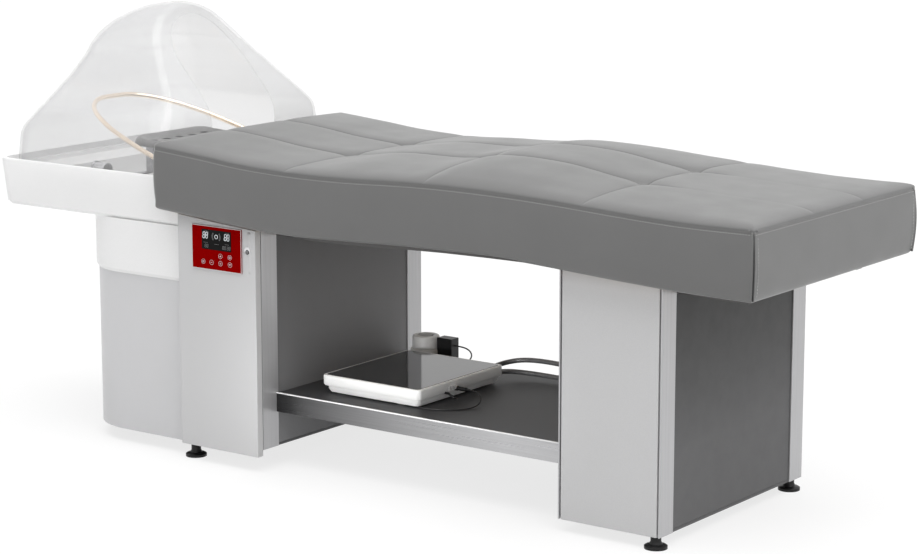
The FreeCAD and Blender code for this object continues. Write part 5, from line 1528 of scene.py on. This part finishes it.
class WASHBED_OT_air_supply(bpy.types.Operator):
    """Makes the pump's vented shell and finishes the adapter and the hose clip"""
    bl_idname = "washbed.air_supply"
    bl_label = "Air supply"

    def execute(self, context):
        low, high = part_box("air_pump")
        middle = (low + high) / 2
        wide, top = middle.x - low.x, high.z
        outline = [(0.0, low.z), (wide + 0.003, low.z), (wide + 0.005, low.z + 0.002)]
        outline += [(wide + out, top - down) for out, down in PUMP_SIDE]
        outline.append((0.0, top - 0.0004))
        pump = joined("air_pump_shell", [turned_part(outline, 56, (middle.x, middle.y, 0))])
        sharpen(pump, 40)
        settle(pump, "bed", "pale_grey_plastic", "grey_plastic", "air_pump")
        vents = [slot_part(middle.x + across * VENT_STEP, middle.y + row * VENT_ROW, top, 0.0030, 0.0011)
                 for row in (-1, 0, 1) for across in range(-3, 4) if abs(across) + abs(row) < 4]
        slots = joined("pump_vents", vents, smooth=False)
        settle(slots, "bed", "black_plastic", "grey_plastic")
        dress("power_adapter", "black_plastic", 0.0012)
        dress("hose_clip", "black_plastic", 0.0005)
        return {"FINISHED"}


class WASHBED_OT_standing(bpy.types.Operator):
    """Finishes the levelling feet and the panel screws"""
    bl_idname = "washbed.standing"
    bl_label = "Feet and screws"

    def execute(self, context):
        for place in ("foot_near", "foot_far", "head_near", "head_far"):
            dress("levelling_foot_" + place, "black_plastic", 0.0008)
        dress("panel_screws", "polished_metal")
        return {"FINISHED"}


# Settings and tools in the side panel

def colour_setting(name, about, default):
    return FloatVectorProperty(name=name, description=about, default=default, subtype="COLOR", min=0, max=1)


def length_setting(name, about, default, low, high):
    return FloatProperty(name=name, description=about, default=default, min=low, max=high, unit="LENGTH")


def level_setting(name, about, default, high=1):
    return FloatProperty(name=name, description=about, default=default, min=0, max=high)


class WashBedColours(bpy.types.PropertyGroup):
    vinyl: colour_setting("Mattress", "Colour of the quilted cover", (0.135, 0.135, 0.134))
    panel: colour_setting("Pale panels", "Colour of the door and the side panels", (0.56, 0.56, 0.565))
    dark_panel: colour_setting("Dark panels", "Colour of the end and inner panels", (0.085, 0.085, 0.087))
    moulding: colour_setting("Basin", "Colour of the basin's mouldings", (0.84, 0.84, 0.84))
    control: colour_setting("Control panel", "Colour of the control film", (0.245, 0.0004, 0.0004))
    hood: colour_setting("Hood", "Tint of the clear hood", (0.64, 0.64, 0.65))


class WashBedSizes(bpy.types.PropertyGroup):
    edge_roll: length_setting("Edge roll", "How far the top rises inside the piped edge", 0.010, 0, 0.02)
    junction_depth: length_setting("Junction depth", "Extra dip where the seams cross", 0.008, 0, 0.03)
    long_seam_depth: length_setting("Long seam depth", "Dip at the two seams along the bed", 0.005, 0, 0.02)
    cross_seam_depth: length_setting("Cross seam depth", "Dip at the seams across the bed", 0.012, 0, 0.03)
    stitch_pitch: length_setting("Stitch pitch", "Distance from stitch to stitch", 0.0065, 0.003, 0.02)
    panel_edge: length_setting("Panel edge", "Rounding of the panels' edges", 0.0012, 0.0002, 0.004)
    basin_edge: length_setting("Basin edge", "Rounding of the tray's edges", 0.002, 0.0005, 0.006)
    hood_wall: length_setting("Hood wall", "Thickness of the clear hood", 0.004, 0.002, 0.008)


class WashBedLight(bpy.types.PropertyGroup):
    overhead: level_setting("Overhead", "Strength of the soft light from above", 3.0, 20)
    side: level_setting("Foot side", "Strength of the light from the foot end", 0.25, 20)
    fill: level_setting("Fill", "Light from all round", 0.46, 2)
    bounce: level_setting("Bounce", "Share of the light that the floor sends back up", 0.72)
    floor_shade: level_setting("Floor shade", "How much of the floor's whiteness shadows take", 0.20)
    floor_lift: level_setting("Floor lift", "Whiteness of the floor that shadows leave", 0.77)
    strip: level_setting("Strip", "Power of the upright strip light", 9, 500)
    shelf: level_setting("Shelf", "Power of the small light before the shelf", 0.5, 100)


SETTINGS = {
    "wash_bed_colours": WashBedColours,
    "wash_bed_sizes": WashBedSizes,
    "wash_bed_light": WashBedLight,
}
TOOLS = (
    WASHBED_OT_stage,
    WASHBED_OT_cords,
    WASHBED_OT_mattress,
    WASHBED_OT_bed_frame,
    WASHBED_OT_cabinets,
    WASHBED_OT_shelf,
    WASHBED_OT_door,
    WASHBED_OT_controls,
    WASHBED_OT_basin,
    WASHBED_OT_hood,
    WASHBED_OT_arch,
    WASHBED_OT_head_rest,
    WASHBED_OT_mixer,
    WASHBED_OT_inner_works,
    WASHBED_OT_unit,
    WASHBED_OT_air_supply,
    WASHBED_OT_standing,
)


class WASHBED_PT_panel(bpy.types.Panel):
    """The bed's colours, sizes, light and tools"""
    bl_label = "Wash Bed"
    bl_idname = "WASHBED_PT_panel"
    bl_space_type = "VIEW_3D"
    bl_region_type = "UI"
    bl_category = "Wash Bed"

    def draw(self, context):
        for group in SETTINGS:
            settings = getattr(context.scene, group)
            box = self.layout.box()
            for name in settings.__annotations__:
                box.prop(settings, name)
        for tool in TOOLS:
            self.layout.operator(tool.bl_idname)


CLASSES = (*SETTINGS.values(), *TOOLS, WASHBED_PT_panel)


def register():
    for kind in CLASSES:
        bpy.utils.register_class(kind)
    for name, kind in SETTINGS.items():
        setattr(bpy.types.Scene, name, PointerProperty(type=kind))


def unregister():
    for name in SETTINGS:
        delattr(bpy.types.Scene, name)
    for kind in reversed(CLASSES):
        bpy.utils.unregister_class(kind)


def main():
    register()
    for tool in TOOLS:
        getattr(bpy.ops.washbed, tool.bl_idname.split(".")[1])()


if __name__ == "__main__":
    main()
